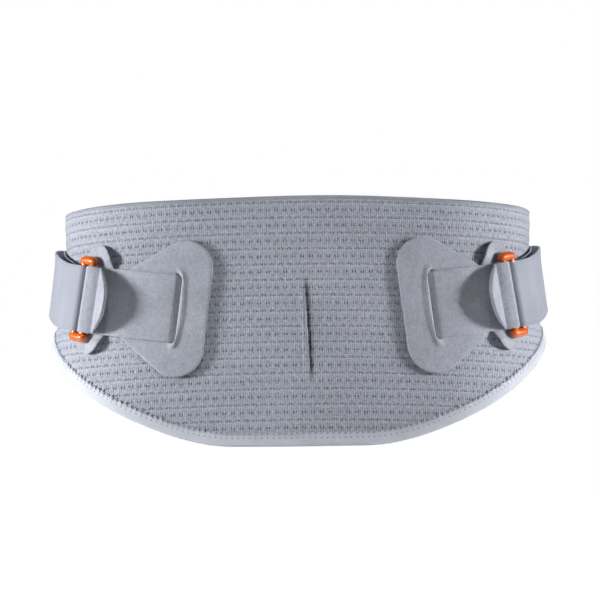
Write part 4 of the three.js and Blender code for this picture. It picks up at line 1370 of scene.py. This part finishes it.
def closure_outline():
    """A rectangle with rounded corners, as an oval squared off."""
    a = np.arange(96) / 96 * 2 * math.pi
    c, s = np.cos(a), np.sin(a)
    half, middle = (CLOSURE_END - CLOSURE_START) / 2, (CLOSURE_END + CLOSURE_START) / 2
    round_s, round_z = np.sign(c) * np.abs(c) ** 0.25, np.sign(s) * np.abs(s) ** 0.25
    outline = np.stack([middle + half * round_s, CLOSURE_LEVEL + CLOSURE_HALF_HEIGHT * round_z], -1)
    return outline, [middle, CLOSURE_LEVEL]


CLOSURE = {  # node, piece, finish, slot, middle of the patch, its thickness, offset of its stitches
    "right": ("hook_patch", "hook_tape", HOOKS, "hook", LINING_FACE - LAYER_GAP - 0.5, 1.0, 0.15),
    "left": ("loop_patch", "velour", VELOUR, "velour", 0.75, 0.7, 1.15),
}


def wing_fittings(side):
    """The strap's end tab with its stitches, this wing's half of the closure, and the outer pull loop."""
    place, wing = worn(side), f"{side}_wing"
    path, half = tab_path()
    tab = ribbon(path, lambda s, offset, w: on_strap(s, w, offset), half, STRAP)
    add(f"{side}_strap_tab", tab, VELOUR, "velour", side, wing, f"{side}_strap_end_tab")
    sew(f"{side}_strap_tab_stitches", on_strap, box(352, 363, -20, 20), 4.15, "elastic", side)

    node, name, finish, slot, middle, thickness, seen = CLOSURE[side]
    patch = plate(*closure_outline(), 12, lambda s, z, h: place(s, z, middle + h), thickness)
    add(f"{side}_closure_{name}", patch, finish, slot, side, wing, f"{side}_closure_{node}")
    reach = CLOSURE_HALF_HEIGHT - 2.5
    runs = box(CLOSURE_START + 2.5, CLOSURE_END - 2.5, CLOSURE_LEVEL - reach, CLOSURE_LEVEL + reach)
    sew(f"{side}_closure_stitches", place, runs, seen, "binding", side)
    if side == "right":
        loop_solid = ribbon(
            pull_loop_path(), lambda s, offset, w: place(s, CLOSURE_LEVEL + w, offset), LOOP_HALF_WIDTH, STRAP
        )
        add("right_pull_loop", loop_solid, ELASTIC, "elastic", side, wing, "right_closure_pull_loop")
        low, high = CLOSURE_LEVEL - 18, CLOSURE_LEVEL + 18
        feet = box(LOOP_START + 1.5, LOOP_START + 6.5, low, high)
        feet += box(LOOP_END - 6.5, LOOP_END - 1.5, low, high)
        sew("right_pull_loop_stitches", place, feet, 2.05, "elastic", side)


for each_side in SIDES:
    wing_fittings(each_side)


# ---- Floor, light and camera ----


def floor():
    """A plain pale floor well below the belt, which brightens evenly into the white around it."""
    f = Finish("pale_floor", 0.9, Specular_IOR_Level=0.1, Emission_Color=(1, 1, 1, 1))
    f.between(f.noise(400, 1), (236, 236, 238), (242, 242, 244))
    far = f.node("VectorMath")
    far.operation = "LENGTH"
    f.link(f.node("TexCoord").outputs["Object"], far.inputs[0])
    glow = f.node("MapRange", From_Min=0.3, From_Max=2.1, To_Min=0.55, To_Max=1.0)
    glow.interpolation_type = "SMOOTHSTEP"
    f.link(far.outputs["Value"], glow.inputs[0])
    seen = Wire(f.tree, f.node("LightPath").outputs["Is Camera Ray"])
    f.link(Wire(f.tree, glow.outputs[0]) * seen, f.shader.inputs["Emission Strength"])
    corners = np.array([[-30, -30, -0.42], [30, -30, -0.42], [30, 30, -0.42], [-30, 30, -0.42]], float)
    mesh = bpy.data.meshes.new("floor")
    mesh.from_pydata(corners.tolist(), [], [[0, 1, 2, 3]])
    mesh.materials.append(f.material)
    obj = bpy.data.objects.new("floor", mesh)
    bpy.context.scene.collection.objects.link(obj)
    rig.stage(obj)


def soft_light(name, place, aim, size, power, spread=180):
    """A square soft light at a place, turned towards an aim, with its light kept within a spread."""
    data = bpy.data.lights.new(name, "AREA")
    data.shape, data.size, data.energy, data.spread = "SQUARE", size, power, spread * DEG
    obj = bpy.data.objects.new(name, data)
    bpy.context.scene.collection.objects.link(obj)
    obj.location = place
    back = unit(np.array(place, float) - np.array(aim, float))
    obj.rotation_euler = (math.acos(back[2]), 0, math.atan2(back[0], -back[1]))


def studio():
    """White surroundings, a soft light on each side and a level camera behind the wearer's back."""
    scene = bpy.context.scene
    world = bpy.data.worlds.new("white_surroundings")
    world.use_nodes = True
    tree = world.node_tree
    seen = tree.nodes["Background"]
    seen.inputs["Color"].default_value, seen.inputs["Strength"].default_value = (1, 1, 1, 1), 1.0
    glow = tree.nodes.new("ShaderNodeBackground")
    glow.inputs["Color"].default_value, glow.inputs["Strength"].default_value = (1, 1, 1, 1), 0.015
    mix, path = tree.nodes.new("ShaderNodeMixShader"), tree.nodes.new("ShaderNodeLightPath")
    tree.links.new(path.outputs["Is Camera Ray"], mix.inputs[0])
    tree.links.new(glow.outputs[0], mix.inputs[1])
    tree.links.new(seen.outputs[0], mix.inputs[2])
    tree.links.new(mix.outputs[0], tree.nodes["World Output"].inputs["Surface"])
    scene.world = world
    scene.view_settings.view_transform = "Standard"
    soft_light("left_light", (-0.95, -0.25, 0.12), (-0.15, -0.05, 0), 0.22, 10.0)
    soft_light("right_light", (0.95, -0.25, 0.12), (0.15, -0.05, 0), 0.22, 8.0)
    soft_light("back_light", (0, -1.3, 1.3), (0, -0.1, -0.01), 0.25, 0.085, 11)
    soft_light("front_light", (0, 1.8, 1.1), (0, 0, 0), 1.2, 20)
    data = bpy.data.cameras.new("camera")
    data.sensor_width, data.lens = 36.0, 136.3
    data.shift_x, data.shift_y = 0.0025, 0.03
    camera = bpy.data.objects.new("camera", data)
    scene.collection.objects.link(camera)
    camera.location = (0, -1.727, 0)
    camera.rotation_euler = (90 * DEG, 0.6 * DEG, 0)
    scene.camera = camera


floor()
studio()

with open("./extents.json", "w") as size_file:
    json.dump({"cad": CAD_BOX, "visual": [[float(c) for c in corner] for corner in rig.bounds()]}, size_file)
